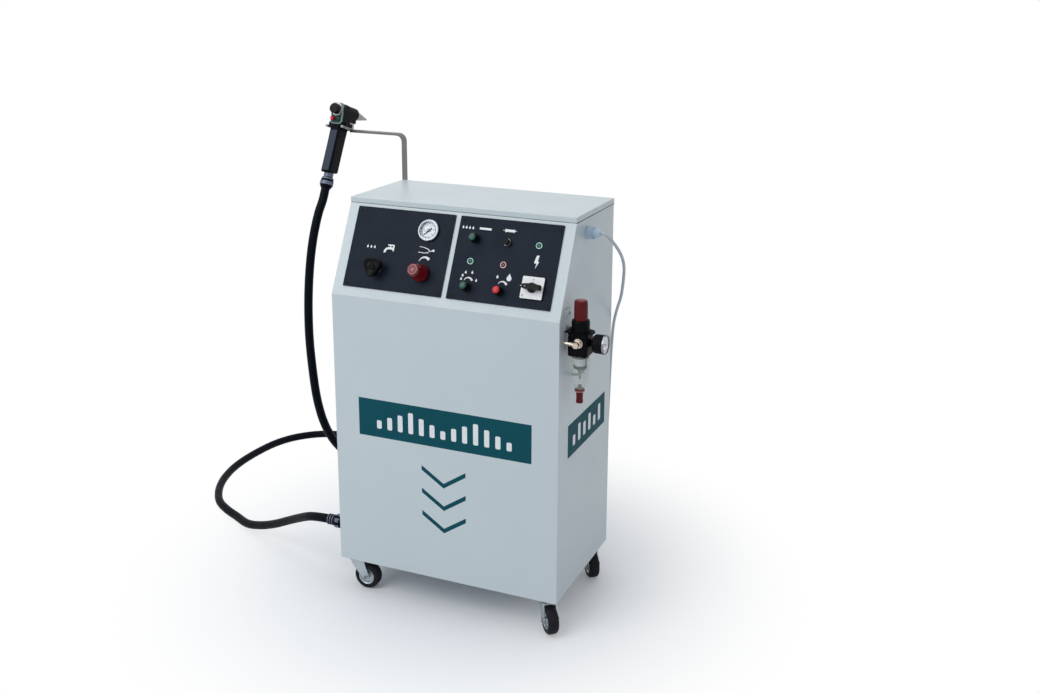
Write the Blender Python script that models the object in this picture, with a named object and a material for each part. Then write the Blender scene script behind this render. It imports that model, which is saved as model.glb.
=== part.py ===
# Glue dosing machine on castors, with a hose and a spray gun that hangs in a fork.
# Metres, +Z up, front towards -Y. The cabinet is centred on X and Y while it is
# modelled, and the whole is moved at the end so that the origin lies under the
# middle of its box, on the floor.
import math

import bmesh
import bpy
from mathutils import Matrix, Vector

# Cabinet
CABINET_WIDTH = 0.520
CABINET_DEPTH = 0.312
BODY_HEIGHT = 0.796
FASCIA_RISE = 0.182
FASCIA_SETBACK = 0.088
SHEET = 0.002
FLANGE = 0.012
GAP = 0.0003

# Lid and its hinge
LID_HEIGHT = 0.012
LID_OVERHANG = 0.0005
HINGE_RADIUS = 0.0034
HINGE_PIN_RADIUS = 0.0015
HINGE_KNUCKLE = 0.080
HINGE_LEAF = 0.0012
HINGE_LEAF_HEIGHT = 0.018

# Castors
CASTOR_HEIGHT = 0.076
CASTOR_INSET_X = 0.032
CASTOR_INSET_Y = 0.028
CASTOR_TRAIL = 0.020
CASTOR_PAD = 0.045
CASTOR_PAD_THICK = 0.0025
BASE_EDGE = 0.020
WHEEL_RADIUS = 0.030
WHEEL_WIDTH = 0.024
RIM_RADIUS = 0.0188
AXLE_RADIUS = 0.004
FORK_PLATE = 0.0022
FORK_CLEARANCE = 0.0010
RACEWAY_RADIUS = 0.0175
CASTOR_TURNS = {"front_left": 2.0, "front_right": -48.0, "rear_left": -75.0, "rear_right": -52.0}

# Control panels, in the fascia's own X, Y (up the slope) and Z (outwards)
PANEL_SHEET = 0.002
PANEL_MARGIN = 0.012
PANEL_EDGE = 0.0235
PANEL_INNER = (-0.0050, 0.0068)
PANEL_ROWS = (0.020, 0.195)
PANEL_CORNER = 0.001
GAUGE_CASE_RADIUS = 0.0200
GAUGE_BEZEL_RADIUS = 0.0235
GAUGE_DEPTH = 0.026
DIAL_DEPTH = 0.0035
NEEDLE_ZERO = 135.0
VALVE_KNOB_RADIUS = 0.0225
VALVE_KNOB_TOP = 0.028
VALVE_STEM_RADIUS = 0.004
PRESSURE_SKIRT_RADIUS = 0.0185
PRESSURE_NOSE_RADIUS = 0.0135
PRESSURE_KNOB_TOP = 0.043
PRESSURE_NECK_RADIUS = 0.0148
PRESSURE_STEM_RADIUS = 0.005
KNOB_RADIUS = 0.0100
KNOB_CAP_RADIUS = 0.0074
KNOB_TOP = 0.0245
KNOB_POINTING = 30.0
SHAFT_RADIUS = 0.003
FUSE_RADIUS = 0.0085
FUSE_CAP_RADIUS = 0.0068
LAMP_RADIUS = 0.0071
SWITCH_SIZE = 0.0475
SWITCH_BASE_TOP = 0.0080
SWITCH_NECK_RADIUS = 0.011
SWITCH_DEPTH = 0.045
SWITCH_HUB_RADIUS = 0.005
SWITCH_HUB_TOP = 0.0120
LEVER_TOP = 0.0240
BOARD_DEPTH = 0.030
BOARD_SHEET = 0.0016
BOARD_MARGIN = 0.017
BOARD_CLEAR = 0.025

# Air filter regulator on the right wall: heights from the top of its body, which is square
FILTER_OFFSET = 0.029
FILTER_FROM_FRONT = 0.041
FILTER_BELOW_TOP = 0.2083
FILTER_SIZE = 0.042
FILTER_BODY_HEIGHT = 0.0467
FILTER_CORNER = 0.006
FILTER_KNOB_RADIUS = 0.0138
FILTER_KNOB_TOP = 0.0653
FILTER_STUD_RADIUS = 0.0052
FILTER_STUD_HEIGHT = 0.006
FILTER_BONNET_RADIUS = 0.0185
FILTER_BONNET_TOP = 0.0253
FILTER_NECK_RADIUS = 0.0140
FILTER_BRACKET_SHEET = 0.002
FILTER_BRACKET_HEIGHT = 0.045
FILTER_BRACKET_HALF = 0.017
FILTER_BOSS = 0.0018
BOWL_RADIUS = 0.0205
BOWL_WALL = 0.0022
BOWL_BOTTOM = -0.1192
BOWL_SEAT = 0.0055
ELEMENT_RADIUS = 0.0105
BAFFLE_RADIUS = 0.0135
DRAIN_HOLE = 0.0042
DRAIN_BOTTOM = -0.1487
FILTER_GAUGE_RADIUS = 0.020
FILTER_GAUGE_REACH = 0.055
FILTER_GAUGE_DROP = 0.003
FILTER_GLASS_DEPTH = 0.003
NIPPLE_Z = -0.0172
NIPPLE_X = 0.0035
FILTER_OUT_Y = 0.033
AIR_TUBE_RADIUS = 0.003
AIR_TUBE_WALL_Z = -0.1037

# Mains cable and its gland, on the right wall
GLAND_Y = -0.010
GLAND_BELOW_TOP = 0.030
GLAND_RADIUS = 0.0135
GLAND_LENGTH = 0.030
CABLE_DIAMETER = 0.0065
COIL_TURN_RADIUS = 0.0375
COIL_COLUMNS = 3
COIL_LAYERS = 2
COIL_AT = (0.090, 0.245)
PLUG_LENGTH = 0.050
PLUG_RADIUS = 0.0175
PLUG_TAIL_RADIUS = 0.0045
PLUG_SHOULDER = 0.036

# Glue hose and its fitting, on the left wall
HOSE_DIAMETER = 0.020
HOSE_FITTING_FROM_FRONT = 0.026
HOSE_FITTING_Z = 0.148
HOSE_FITTING_LENGTH = 0.046
HOSE_FITTING_RADIUS = 0.0155

# Gun, in its own frame: origin where barrel and grip lines cross, Y along the barrel
GUN_ABOVE_ARM = 0.0456
GUN_BEFORE_ARM = 0.0052
BARREL_DROP = 17.2
BARREL_RADIUS = 0.0158
BARREL_REAR = -0.024
BARREL_FRONT = 0.050
NOZZLE_TIP = 0.1063
GRIP_LEAN = 9.9
GRIP_WIDTH = 0.025
GRIP_BOTTOM = -0.150
HEAD_HALF_WIDTH = 0.0145
HEAD_PROUD = 0.0008
LIP_HALF_WIDTH = 0.0225
LIP_BOTTOM = -0.0365
NUT_RADIUS = 0.0150
NUT_BOTTOM = -0.187
GUN_KNOB_RADIUS = 0.0125
GUN_KNOB_LENGTH = 0.0175
GUN_KNOB_NECK = 0.0085
TRIGGER_PIVOT = (0.0385, -0.0170)
TRIGGER_WIDTH = 0.009
BUTTON_ROW = -0.0215
BUTTON_TRAVEL = 0.002
BUTTON_DEPTH = 0.006
GREEN_BUTTON = (0.0046, 0.0066, 0.0030)
RED_BUTTON = (-0.0087, 0.0048, 0.0085)

# Gun holder at the back
BAR_WIDTH = 0.016
BAR_THICK = 0.005
BAR_OFF_WALL = 0.005
BAR_OFF_REAR = 0.020
BAR_BEND_RADIUS = 0.016
ARM_ABOVE_TOP = 0.114
ARM_REACH = 0.1585
ROD_RADIUS = 0.003
PRONG_OFFSET = 0.0205
PRONG_BEND_RADIUS = 0.007
PRONG_LINE = -0.040
PRONG_TIP = -0.031
BAR_FOOT_BELOW_TOP = 0.102
BRACKET_SHEET = 0.003
BRACKET_FLANGE = 0.028
BRACKET_FOOT = 0.040

# Glue tank inside
TANK_AT = (-0.080, 0.010)
TANK_RADIUS = 0.105
TANK_HEIGHT = 0.340
TANK_WALL = 0.003
TANK_FLANGE = 0.012

# Worked out from the sizes above
FRONT = -CABINET_DEPTH / 2
REAR = CABINET_DEPTH / 2
SIDE = CABINET_WIDTH / 2
BODY_FLOOR = CASTOR_HEIGHT
BODY_TOP = BODY_FLOOR + BODY_HEIGHT
BEND_Z = BODY_TOP - FASCIA_RISE
FASCIA_TOP_Y = FRONT + FASCIA_SETBACK
FASCIA_ANGLE = math.atan2(FASCIA_SETBACK, FASCIA_RISE)
BODY_REAR = REAR - PANEL_SHEET - GAP
HINGE_Y = REAR + HINGE_RADIUS + GAP
HINGE_Z = BODY_TOP
FILTER_X = SIDE + FILTER_OFFSET
FILTER_Y = FRONT + FILTER_FROM_FRONT
FILTER_Z = BODY_TOP - FILTER_BELOW_TOP
HOSE_FITTING_Y = FRONT + HOSE_FITTING_FROM_FRONT
GLAND_Z = BODY_TOP - GLAND_BELOW_TOP
BAR_X = -SIDE - BAR_OFF_WALL
BAR_Y = REAR + BAR_OFF_REAR
BAR_FOOT_Z = BODY_TOP - BAR_FOOT_BELOW_TOP
ARM_Z = BODY_TOP + ARM_ABOVE_TOP
GUN_AT = (BAR_X - ARM_REACH, BAR_Y - GUN_BEFORE_ARM, ARM_Z + GUN_ABOVE_ARM)
FACE = GAP + PANEL_SHEET
NECK_START = GRIP_BOTTOM + 0.004
NECK_LENGTH = (NECK_START - NUT_BOTTOM) / math.cos(math.radians(GRIP_LEAN))
COIL_HALF = COIL_COLUMNS * CABLE_DIAMETER / 2
COIL_HEIGHT = COIL_LAYERS * CABLE_DIAMETER
COIL_OUTER = COIL_TURN_RADIUS + COIL_HALF
COIL_LAST_TURN = COIL_OUTER - CABLE_DIAMETER / 2
PLUG_TILT = math.atan2(PLUG_RADIUS - PLUG_TAIL_RADIUS, PLUG_SHOULDER)
INSIDE_FLOOR = BODY_FLOOR + CASTOR_PAD_THICK + SHEET + GAP

# What stands on the panels: how far across its panel, and how far up the slope
PANEL_LEFT = (-SIDE + PANEL_EDGE, PANEL_INNER[0])
PANEL_RIGHT = (PANEL_INNER[1], SIDE - PANEL_EDGE)
LEFT_WIDTH = PANEL_LEFT[1] - PANEL_LEFT[0]
RIGHT_WIDTH = PANEL_RIGHT[1] - PANEL_RIGHT[0]
GAUGE_AT = (PANEL_LEFT[0] + 0.763 * LEFT_WIDTH, 0.1560)
VALVE_AT = (PANEL_LEFT[0] + 0.313 * LEFT_WIDTH, 0.0642)
PRESSURE_AT = (PANEL_LEFT[0] + 0.767 * LEFT_WIDTH, 0.0645)
MODE_AT = (PANEL_RIGHT[0] + 0.184 * RIGHT_WIDTH, 0.1490)
DOSE_AT = (PANEL_RIGHT[0] + 0.184 * RIGHT_WIDTH, 0.0478)
TIME_AT = (PANEL_RIGHT[0] + 0.504 * RIGHT_WIDTH, 0.0470)
FUSE_AT = (PANEL_RIGHT[0] + 0.495 * RIGHT_WIDTH, 0.1484)
LAMP_MAINS_AT = (PANEL_RIGHT[0] + 0.798 * RIGHT_WIDTH, 0.1483)
LAMP_DOSE_AT = (PANEL_RIGHT[0] + 0.175 * RIGHT_WIDTH, 0.1017)
LAMP_TIME_AT = (PANEL_RIGHT[0] + 0.495 * RIGHT_WIDTH, 0.1015)
SWITCH_AT = (PANEL_RIGHT[0] + 0.810 * RIGHT_WIDTH, 0.0614)

CORDS = ("mains_cable", "cable_coil", "mains_plug", "glue_hose")

# Routes, as points chosen by hand, in metres from the middle of the cabinet's floor plan
CABLE_ROUTE = [
    (0.2904, -0.0100, 0.8420), (0.2970, -0.0100, 0.8415), (0.3060, 0.0000, 0.8310),
    (0.3110, 0.0220, 0.8125), (0.3130, 0.0430, 0.7945), (0.3130, 0.0640, 0.7745),
    (0.3105, 0.0830, 0.7500), (0.3030, 0.1020, 0.7150), (0.2900, 0.1280, 0.6730),
    (0.2720, 0.1570, 0.6350), (0.2610, 0.1700, 0.6000), (0.2560, 0.1730, 0.5500),
    (0.2530, 0.1740, 0.4800), (0.2500, 0.1760, 0.3900), (0.2460, 0.1790, 0.3000),
    (0.2410, 0.1840, 0.2000), (0.2340, 0.1910, 0.1100), (0.2240, 0.2010, 0.0480),
    (0.2080, 0.2070, 0.0140), (0.1860, 0.2070, 0.0050), (0.1620, 0.2010, 0.0042),
    (0.1360, 0.1953, 0.0042), (0.1100, 0.1943, 0.0042),
    (0.0900, 0.1942, 0.0042),
]
HOSE_ROUTE = [
    (-0.3064, -0.1300, 0.1480), (-0.3250, -0.1300, 0.1475), (-0.3620, -0.1190, 0.1380),
    (-0.4140, -0.0920, 0.1110), (-0.4620, -0.0690, 0.0840), (-0.5130, -0.0480, 0.0560),
    (-0.5680, -0.0290, 0.0320), (-0.6260, -0.0080, 0.0150), (-0.6830, 0.0220, 0.0105),
    (-0.7260, 0.0420, 0.0105), (-0.7700, 0.0700, 0.0105), (-0.8070, 0.1110, 0.0105),
    (-0.8380, 0.1620, 0.0105), (-0.8590, 0.2150, 0.0105), (-0.8730, 0.2780, 0.0105),
    (-0.8760, 0.3620, 0.0105), (-0.8640, 0.4500, 0.0105), (-0.8380, 0.5060, 0.0105),
    (-0.7880, 0.5540, 0.0105), (-0.7300, 0.5760, 0.0105), (-0.6500, 0.5810, 0.0105),
    (-0.5600, 0.5680, 0.0105), (-0.4700, 0.5370, 0.0105), (-0.3900, 0.4860, 0.0105),
    (-0.3380, 0.4200, 0.0110), (-0.3220, 0.3500, 0.0190), (-0.3330, 0.2850, 0.0460),
    (-0.3590, 0.2280, 0.0900), (-0.3880, 0.1720, 0.1400), (-0.4110, 0.1280, 0.1820),
    (-0.4270, 0.0920, 0.2260), (-0.4360, 0.0640, 0.2800), (-0.4420, 0.0450, 0.3470),
    (-0.4460, 0.0340, 0.4400), (-0.4460, 0.0270, 0.5350), (-0.4410, 0.0270, 0.6450),
    (-0.4320, 0.0350, 0.7420), (-0.4255, 0.0550, 0.8100),
]

# Finishes: colour, roughness, metallic value and alpha
FINISHES = {
    "cabinet_paint": ((0.60, 0.66, 0.66), 0.32, 0.0, 1.0),
    "zinc_steel": ((0.62, 0.63, 0.64), 0.38, 0.9, 1.0),
    "tyre_rubber": ((0.03, 0.03, 0.035), 0.6, 0.0, 1.0),
    "panel_black": ((0.045, 0.05, 0.06), 0.45, 0.0, 1.0),
    "bright_steel": ((0.75, 0.75, 0.74), 0.22, 1.0, 1.0),
    "clear_glass": ((0.9, 0.95, 0.95), 0.05, 0.0, 0.35),
    "needle_black": ((0.02, 0.02, 0.02), 0.5, 0.0, 1.0),
    "brass": ((0.72, 0.55, 0.28), 0.35, 1.0, 1.0),
    "knob_black": ((0.02, 0.02, 0.022), 0.3, 0.0, 1.0),
    "grey_casting": ((0.30, 0.31, 0.32), 0.45, 0.6, 1.0),
    "dark_red_plastic": ((0.22, 0.015, 0.02), 0.25, 0.0, 1.0),
    "board_green": ((0.05, 0.22, 0.10), 0.5, 0.0, 1.0),
    "black_plastic": ((0.03, 0.03, 0.033), 0.4, 0.0, 1.0),
    "clear_plastic": ((0.85, 0.88, 0.86), 0.1, 0.0, 0.35),
    "filter_white": ((0.85, 0.86, 0.85), 0.7, 0.0, 1.0),
    "air_tube_grey": ((0.45, 0.47, 0.48), 0.4, 0.0, 1.0),
    "gland_grey": ((0.42, 0.50, 0.55), 0.4, 0.0, 1.0),
    "cable_grey": ((0.40, 0.41, 0.43), 0.45, 0.0, 1.0),
    "hose_rubber": ((0.025, 0.025, 0.028), 0.55, 0.0, 1.0),
    "gun_black": ((0.03, 0.032, 0.036), 0.42, 0.0, 1.0),
    "nozzle_beige": ((0.42, 0.41, 0.38), 0.4, 0.0, 1.0),
    "stainless_steel": ((0.66, 0.66, 0.65), 0.3, 1.0, 1.0),
    "mode_knob_plastic": ((0.05, 0.20, 0.12), 0.35, 0.0, 1.0),
    "dose_knob_plastic": ((0.05, 0.20, 0.12), 0.35, 0.0, 1.0),
    "time_knob_plastic": ((0.60, 0.04, 0.05), 0.35, 0.0, 1.0),
    "gun_green_button_plastic": ((0.02, 0.30, 0.20), 0.3, 0.0, 1.0),
    "gun_red_button_plastic": ((0.65, 0.05, 0.06), 0.3, 0.0, 1.0),
}


# Scene, materials and mesh tools

def clear_scene():
    for item in list(bpy.data.objects):
        bpy.data.objects.remove(item, do_unlink=True)


def material(name):
    mat = bpy.data.materials.get(name)
    if mat is None:
        colour, roughness, metallic, alpha = FINISHES[name]
        mat = bpy.data.materials.new(name)
        mat.use_nodes = True
        shader = mat.node_tree.nodes["Principled BSDF"]
        shader.inputs["Base Color"].default_value = (*colour, 1.0)
        shader.inputs["Roughness"].default_value = roughness
        shader.inputs["Metallic"].default_value = metallic
        shader.inputs["Alpha"].default_value = alpha
    return mat


def empty(name, parent=None, place=None):
    item = bpy.data.objects.new(name, None)
    item.empty_display_size = 0.02
    bpy.context.collection.objects.link(item)
    item.parent = parent
    item.matrix_basis = place if place else Matrix()
    return item


def move(x=0.0, y=0.0, z=0.0):
    return Matrix.Translation((x, y, z))


def turn(axis, degrees):
    return Matrix.Rotation(math.radians(degrees), 4, axis)


def piece(name, shape, mat, parent, place=None, smooth=35.0):
    bmesh.ops.remove_doubles(shape, verts=shape.verts, dist=1e-6)
    bmesh.ops.recalc_face_normals(shape, faces=shape.faces)
    mesh = bpy.data.meshes.new(name)
    shape.to_mesh(mesh)
    shape.free()
    item = bpy.data.objects.new(name, mesh)
    bpy.context.collection.objects.link(item)
    item.data.materials.append(mat)
    item.parent = parent
    item.matrix_basis = place if place else Matrix()
    if smooth:
        mesh.shade_smooth()
        mesh.set_sharp_from_angle(angle=math.radians(smooth))
    return item


def tool(target, shape, operation, place=None):
    helper = piece("tool_" + target.name, shape, target.data.materials[0], target.parent, place, 0)
    helper.display_type = "WIRE"
    helper.hide_render = True
    change = target.modifiers.new(operation.lower(), "BOOLEAN")
    change.operation = operation
    change.solver = "EXACT"
    change.object = helper
    return helper


def cut(target, shape, place=None):
    return tool(target, shape, "DIFFERENCE", place)


def join(target, shape, place=None):
    return tool(target, shape, "UNION", place)


def round_edges(item, width, segments=2, angle=40.0):
    change = item.modifiers.new("edges", "BEVEL")
    change.width = width
    change.segments = segments
    change.limit_method = "ANGLE"
    change.angle_limit = math.radians(angle)
    return change


def box(low, high, shape=None):
    shape = shape or bmesh.new()
    size = [b - a for a, b in zip(low, high)]
    middle = [(a + b) / 2 for a, b in zip(low, high)]
    bmesh.ops.create_cube(shape, size=1.0, matrix=move(*middle) @ Matrix.Diagonal((*size, 1.0)))
    return shape


def loft(rings, shape=None):
    shape = shape or bmesh.new()
    rows = [[shape.verts.new(point) for point in ring] for ring in rings]
    count = len(rings[0])
    for upper, lower in zip(rows, rows[1:]):
        for i in range(count):
            j = (i + 1) % count
            shape.faces.new((upper[i], lower[i], lower[j], upper[j]))
    shape.faces.new(rows[0])
    shape.faces.new(list(reversed(rows[-1])))
    return shape


def circle(radius, z, count):
    steps = [2 * math.pi * i / count for i in range(count)]
    return [(radius * math.cos(a), radius * math.sin(a), z) for a in steps]


def turned(profile, count, shape=None, place=None):
    """A solid of revolution about Z from (radius, z) points; a closed profile makes a ring."""
    shape = shape or bmesh.new()
    closed = profile[0] == profile[-1]
    points = profile[:-1] if closed else profile
    rows = []
    for radius, z in points:
        if radius == 0.0:
            rows.append([shape.verts.new((0.0, 0.0, z))] * count)
        else:
            rows.append([shape.verts.new(point) for point in circle(radius, z, count)])
    pairs = list(zip(rows, rows[1:] + rows[:1])) if closed else list(zip(rows, rows[1:]))
    for upper, lower in pairs:
        for i in range(count):
            j = (i + 1) % count
            corners = [upper[i], lower[i], lower[j], upper[j]]
            corners = [v for k, v in enumerate(corners) if v not in corners[:k]]
            if len(corners) > 2:
                shape.faces.new(corners)
    if place:
        used = {v for row in rows for v in row}
        bmesh.ops.transform(shape, matrix=place, verts=list(used))
    return shape


def drill(radius, reach, shape, place):
    """A cutter for a round hole that clears a round piece of this radius."""
    count = 16 if radius < 0.010 else 28
    clear = (radius + GAP) / math.cos(math.pi / count)
    return turned([(0.0, reach), (clear, reach), (clear, -reach), (0.0, -reach)], count, shape, place)


def prism(outline, low, high, shape=None, place=None):
    """An outline in X and Y, extruded along Z."""
    shape = shape or bmesh.new()
    bottom = [shape.verts.new((x, y, low)) for x, y in outline]
    top = [shape.verts.new((x, y, high)) for x, y in outline]
    count = len(outline)
    for i in range(count):
        j = (i + 1) % count
        shape.faces.new((bottom[i], bottom[j], top[j], top[i]))
    shape.faces.new(list(reversed(bottom)))
    shape.faces.new(top)
    if place:
        bmesh.ops.transform(shape, matrix=place, verts=bottom + top)
    return shape


def inset(outline, distance):
    """The same convex outline, run anticlockwise, moved inwards by a distance."""
    result = []
    count = len(outline)
    for i in range(count):
        before = Vector(outline[i - 1])
        here = Vector(outline[i])
        after = Vector(outline[(i + 1) % count])
        first = (here - before).normalized()
        second = (after - here).normalized()
        normal = Vector((-first.y, first.x))
        share = distance / (1.0 + first.dot(second))
        result.append(tuple(here + share * (normal + Vector((-second.y, second.x)))))
    return result


def arc(centre, radius, start, end, count):
    steps = [math.radians(start + (end - start) * i / (count - 1)) for i in range(count)]
    return [(centre[0] + radius * math.cos(a), centre[1] + radius * math.sin(a)) for a in steps]


def rounded_outline(low, high, radius, count=3):
    x0, y0, x1, y1 = low[0] + radius, low[1] + radius, high[0] - radius, high[1] - radius
    points = arc((x1, y1), radius, 0, 90, count) + arc((x0, y1), radius, 90, 180, count)
    return points + arc((x0, y0), radius, 180, 270, count) + arc((x1, y0), radius, 270, 360, count)


def fluted_ring(radius, z, count, flutes, depth):
    """A ring whose radius dips smoothly at each flute."""
    points = []
    for i in range(count):
        angle = 2 * math.pi * i / count
        reach = radius - depth * (0.5 - 0.5 * math.cos(flutes * angle))
        points.append((reach * math.cos(angle), reach * math.sin(angle), z))
    return points


def smooth_path(points, spacing):
    """Points at even spacing along a centripetal Catmull-Rom curve through the route,
    with one more close to each end, so that the ends are cut square to the route."""
    route = [Vector(p) for p in points]
    ends = [2 * route[0] - route[1]] + route + [2 * route[-1] - route[-2]]
    fine = []
    for i in range(1, len(ends) - 2):
        p0, p1, p2, p3 = ends[i - 1:i + 3]
        t1 = math.sqrt((p1 - p0).length)
        t2 = t1 + math.sqrt((p2 - p1).length)
        t3 = t2 + math.sqrt((p3 - p2).length)
        for k in range(24):
            t = t1 + (t2 - t1) * k / 24
            a1 = p0 * ((t1 - t) / t1) + p1 * (t / t1)
            a2 = p1 * ((t2 - t) / (t2 - t1)) + p2 * ((t - t1) / (t2 - t1))
            a3 = p2 * ((t3 - t) / (t3 - t2)) + p3 * ((t - t2) / (t3 - t2))
            b1 = a1 * ((t2 - t) / t2) + a2 * (t / t2)
            b2 = a2 * ((t3 - t) / (t3 - t1)) + a3 * ((t - t1) / (t3 - t1))
            fine.append(b1 * ((t2 - t) / (t2 - t1)) + b2 * ((t - t1) / (t2 - t1)))
    fine.append(route[-1])
    lengths = [0.0]
    for a, b in zip(fine, fine[1:]):
        lengths.append(lengths[-1] + (b - a).length)
    steps = max(2, round(lengths[-1] / spacing))
    wanted = [i / steps for i in range(steps + 1)]
    wanted = [0.0, 0.1 / steps] + wanted[1:-1] + [1.0 - 0.1 / steps, 1.0]
    path = []
    at = 0
    for want in wanted:
        want = lengths[-1] * want
        while at < len(fine) - 2 and lengths[at + 1] < want:
            at += 1
        share = (want - lengths[at]) / max(lengths[at + 1] - lengths[at], 1e-12)
        path.append(fine[at].lerp(fine[at + 1], min(max(share, 0.0), 1.0)))
    return path


def rod(path, radius, count, normal):
    """A round rod along a flat path whose plane has the given normal."""
    points = [Vector(point) for point in path]
    rings = []
    for i, point in enumerate(points):
        ahead = points[min(i + 1, len(points) - 1)] - points[max(i - 1, 0)]
        across = ahead.normalized().cross(normal)
        steps = [2 * math.pi * (k + 0.5) / count for k in range(count)]
        rings.append([point + radius * (math.cos(a) * across + math.sin(a) * normal) for a in steps])
    return loft(rings)


def tube(name, points, spacing, diameter, mat, parent, sides=2):
    curve = bpy.data.curves.new(name, "CURVE")
    curve.dimensions = "3D"
    curve.bevel_depth = diameter / 2
    curve.bevel_resolution = sides
    curve.use_fill_caps = True
    path = smooth_path(points, spacing)
    spline = curve.splines.new("POLY")
    spline.points.add(len(path) - 1)
    for point, place in zip(spline.points, path):
        point.co = (*place, 1.0)
    item = bpy.data.objects.new(name, curve)
    bpy.context.collection.objects.link(item)
    curve.materials.append(mat)
    item.parent = parent
    return item


# Cabinet

def make_cabinet(frame):
    paint = material("cabinet_paint")
    outline = [(FRONT, BODY_FLOOR), (BODY_REAR, BODY_FLOOR), (BODY_REAR, BODY_TOP),
               (FASCIA_TOP_Y, BODY_TOP), (FRONT, BEND_Z)]
    upright = Matrix(((0, 0, 1, 0), (1, 0, 0, 0), (0, 1, 0, 0), (0, 0, 0, 1)))
    body = piece("cabinet_body", prism(outline, -SIDE, SIDE, place=upright), paint, frame)
    inside = inset(outline, SHEET)
    cut(body, prism(inside, -SIDE + SHEET, SIDE - SHEET, place=upright))
    reach = SIDE - FLANGE
    cut(body, box((-reach, BODY_REAR - 2 * SHEET, BODY_FLOOR + FLANGE),
                  (reach, BODY_REAR + SHEET, BODY_TOP - FLANGE)))
    cut(body, box((-reach, FASCIA_TOP_Y + FLANGE, BODY_TOP - 2 * SHEET),
                  (reach, BODY_REAR - FLANGE, BODY_TOP + SHEET)))
    cut(body, box((-SIDE + SHEET, FRONT + SHEET, BODY_FLOOR - SHEET),
                  (SIDE - SHEET, BODY_REAR - SHEET, BODY_FLOOR + 2 * SHEET)))
    windows = bmesh.new()
    low, high = PANEL_ROWS[0] + PANEL_MARGIN, PANEL_ROWS[1] - PANEL_MARGIN
    for left, right in (PANEL_LEFT, PANEL_RIGHT):
        box((left + PANEL_MARGIN, low, -3 * SHEET), (right - PANEL_MARGIN, high, SHEET), windows)
    cut(body, windows, fascia_place())
    holes = bmesh.new()
    across = turn("Y", 90)
    for place, radius in ((move(SIDE, GLAND_Y, GLAND_Z), GLAND_RADIUS * 0.72),
                          (move(-SIDE, HOSE_FITTING_Y, HOSE_FITTING_Z), HOSE_FITTING_RADIUS * 0.7),
                          (move(SIDE, FILTER_Y + FILTER_OUT_Y, FILTER_Z + AIR_TUBE_WALL_Z), AIR_TUBE_RADIUS)):
        drill(radius, 3 * SHEET, holes, place @ across)
    cut(body, holes)
    return body


def fascia_place():
    return move(0.0, FRONT, BEND_Z) @ turn("X", 90 - math.degrees(FASCIA_ANGLE))


def make_base(frame):
    steel = material("zinc_steel")
    room_x = SIDE - SHEET - GAP
    front, back = FRONT + SHEET + GAP, BODY_REAR - SHEET - GAP
    floor = BODY_FLOOR + CASTOR_PAD_THICK
    base = piece("base_plate", box((-room_x, front, floor), (room_x, back, floor + BASE_EDGE)), steel, frame)
    cut(base, box((-room_x + SHEET, front + SHEET, floor + SHEET),
                  (room_x - SHEET, back - SHEET, floor + 2 * BASE_EDGE)))
    pads = bmesh.new()
    half = CASTOR_PAD / 2
    for x, y in castor_places().values():
        box((x - half, y - half, BODY_FLOOR), (x + half, y + half, floor + SHEET / 2), pads)
    join(base, pads)
    return base


def make_rear_panel(frame):
    paint = material("cabinet_paint")
    edge = 0.0015
    outline = rounded_outline((-SIDE + edge, BODY_FLOOR + edge), (SIDE - edge, BODY_TOP - edge), 0.004)
    upright = Matrix(((1, 0, 0, 0), (0, 0, -1, 0), (0, 1, 0, 0), (0, 0, 0, 1)))
    panel = prism(outline, -REAR, -REAR + PANEL_SHEET, place=upright)
    return piece("rear_panel", panel, paint, frame)


def make_lid(frame):
    paint = material("cabinet_paint")
    axis = empty("lid_axis", frame, move(0.0, HINGE_Y, HINGE_Z))
    front = FASCIA_TOP_Y - 0.001 - HINGE_Y
    back = REAR - HINGE_Y
    reach = SIDE + LID_OVERHANG
    low = GAP
    lid = piece("lid", box((-reach, front, low), (reach, back, LID_HEIGHT)), paint, axis)
    round_edges(lid, 0.0012, 2)
    cut(lid, box((-reach + SHEET, front + SHEET, low - SHEET),
                 (reach - SHEET, back - SHEET, LID_HEIGHT - SHEET)))
    half = HINGE_KNUCKLE / 2 - GAP
    leaves = bmesh.new()
    knuckles = bmesh.new()
    bore = (HINGE_PIN_RADIUS + GAP) / math.cos(math.pi / 12)
    for side in (-1, 1):
        x = side * HINGE_KNUCKLE
        box((x - half, back - HINGE_LEAF / 2, low + 0.0002),
            (x + half, back + HINGE_LEAF, LID_HEIGHT - SHEET), leaves)
        ring = [(HINGE_RADIUS, half), (HINGE_RADIUS, -half), (bore, -half), (bore, half)]
        turned(ring + ring[:1], 12, knuckles, move(x) @ turn("Y", 90) @ turn("Z", 15))
    join(lid, leaves)
    join(lid, knuckles)
    return axis


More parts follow.
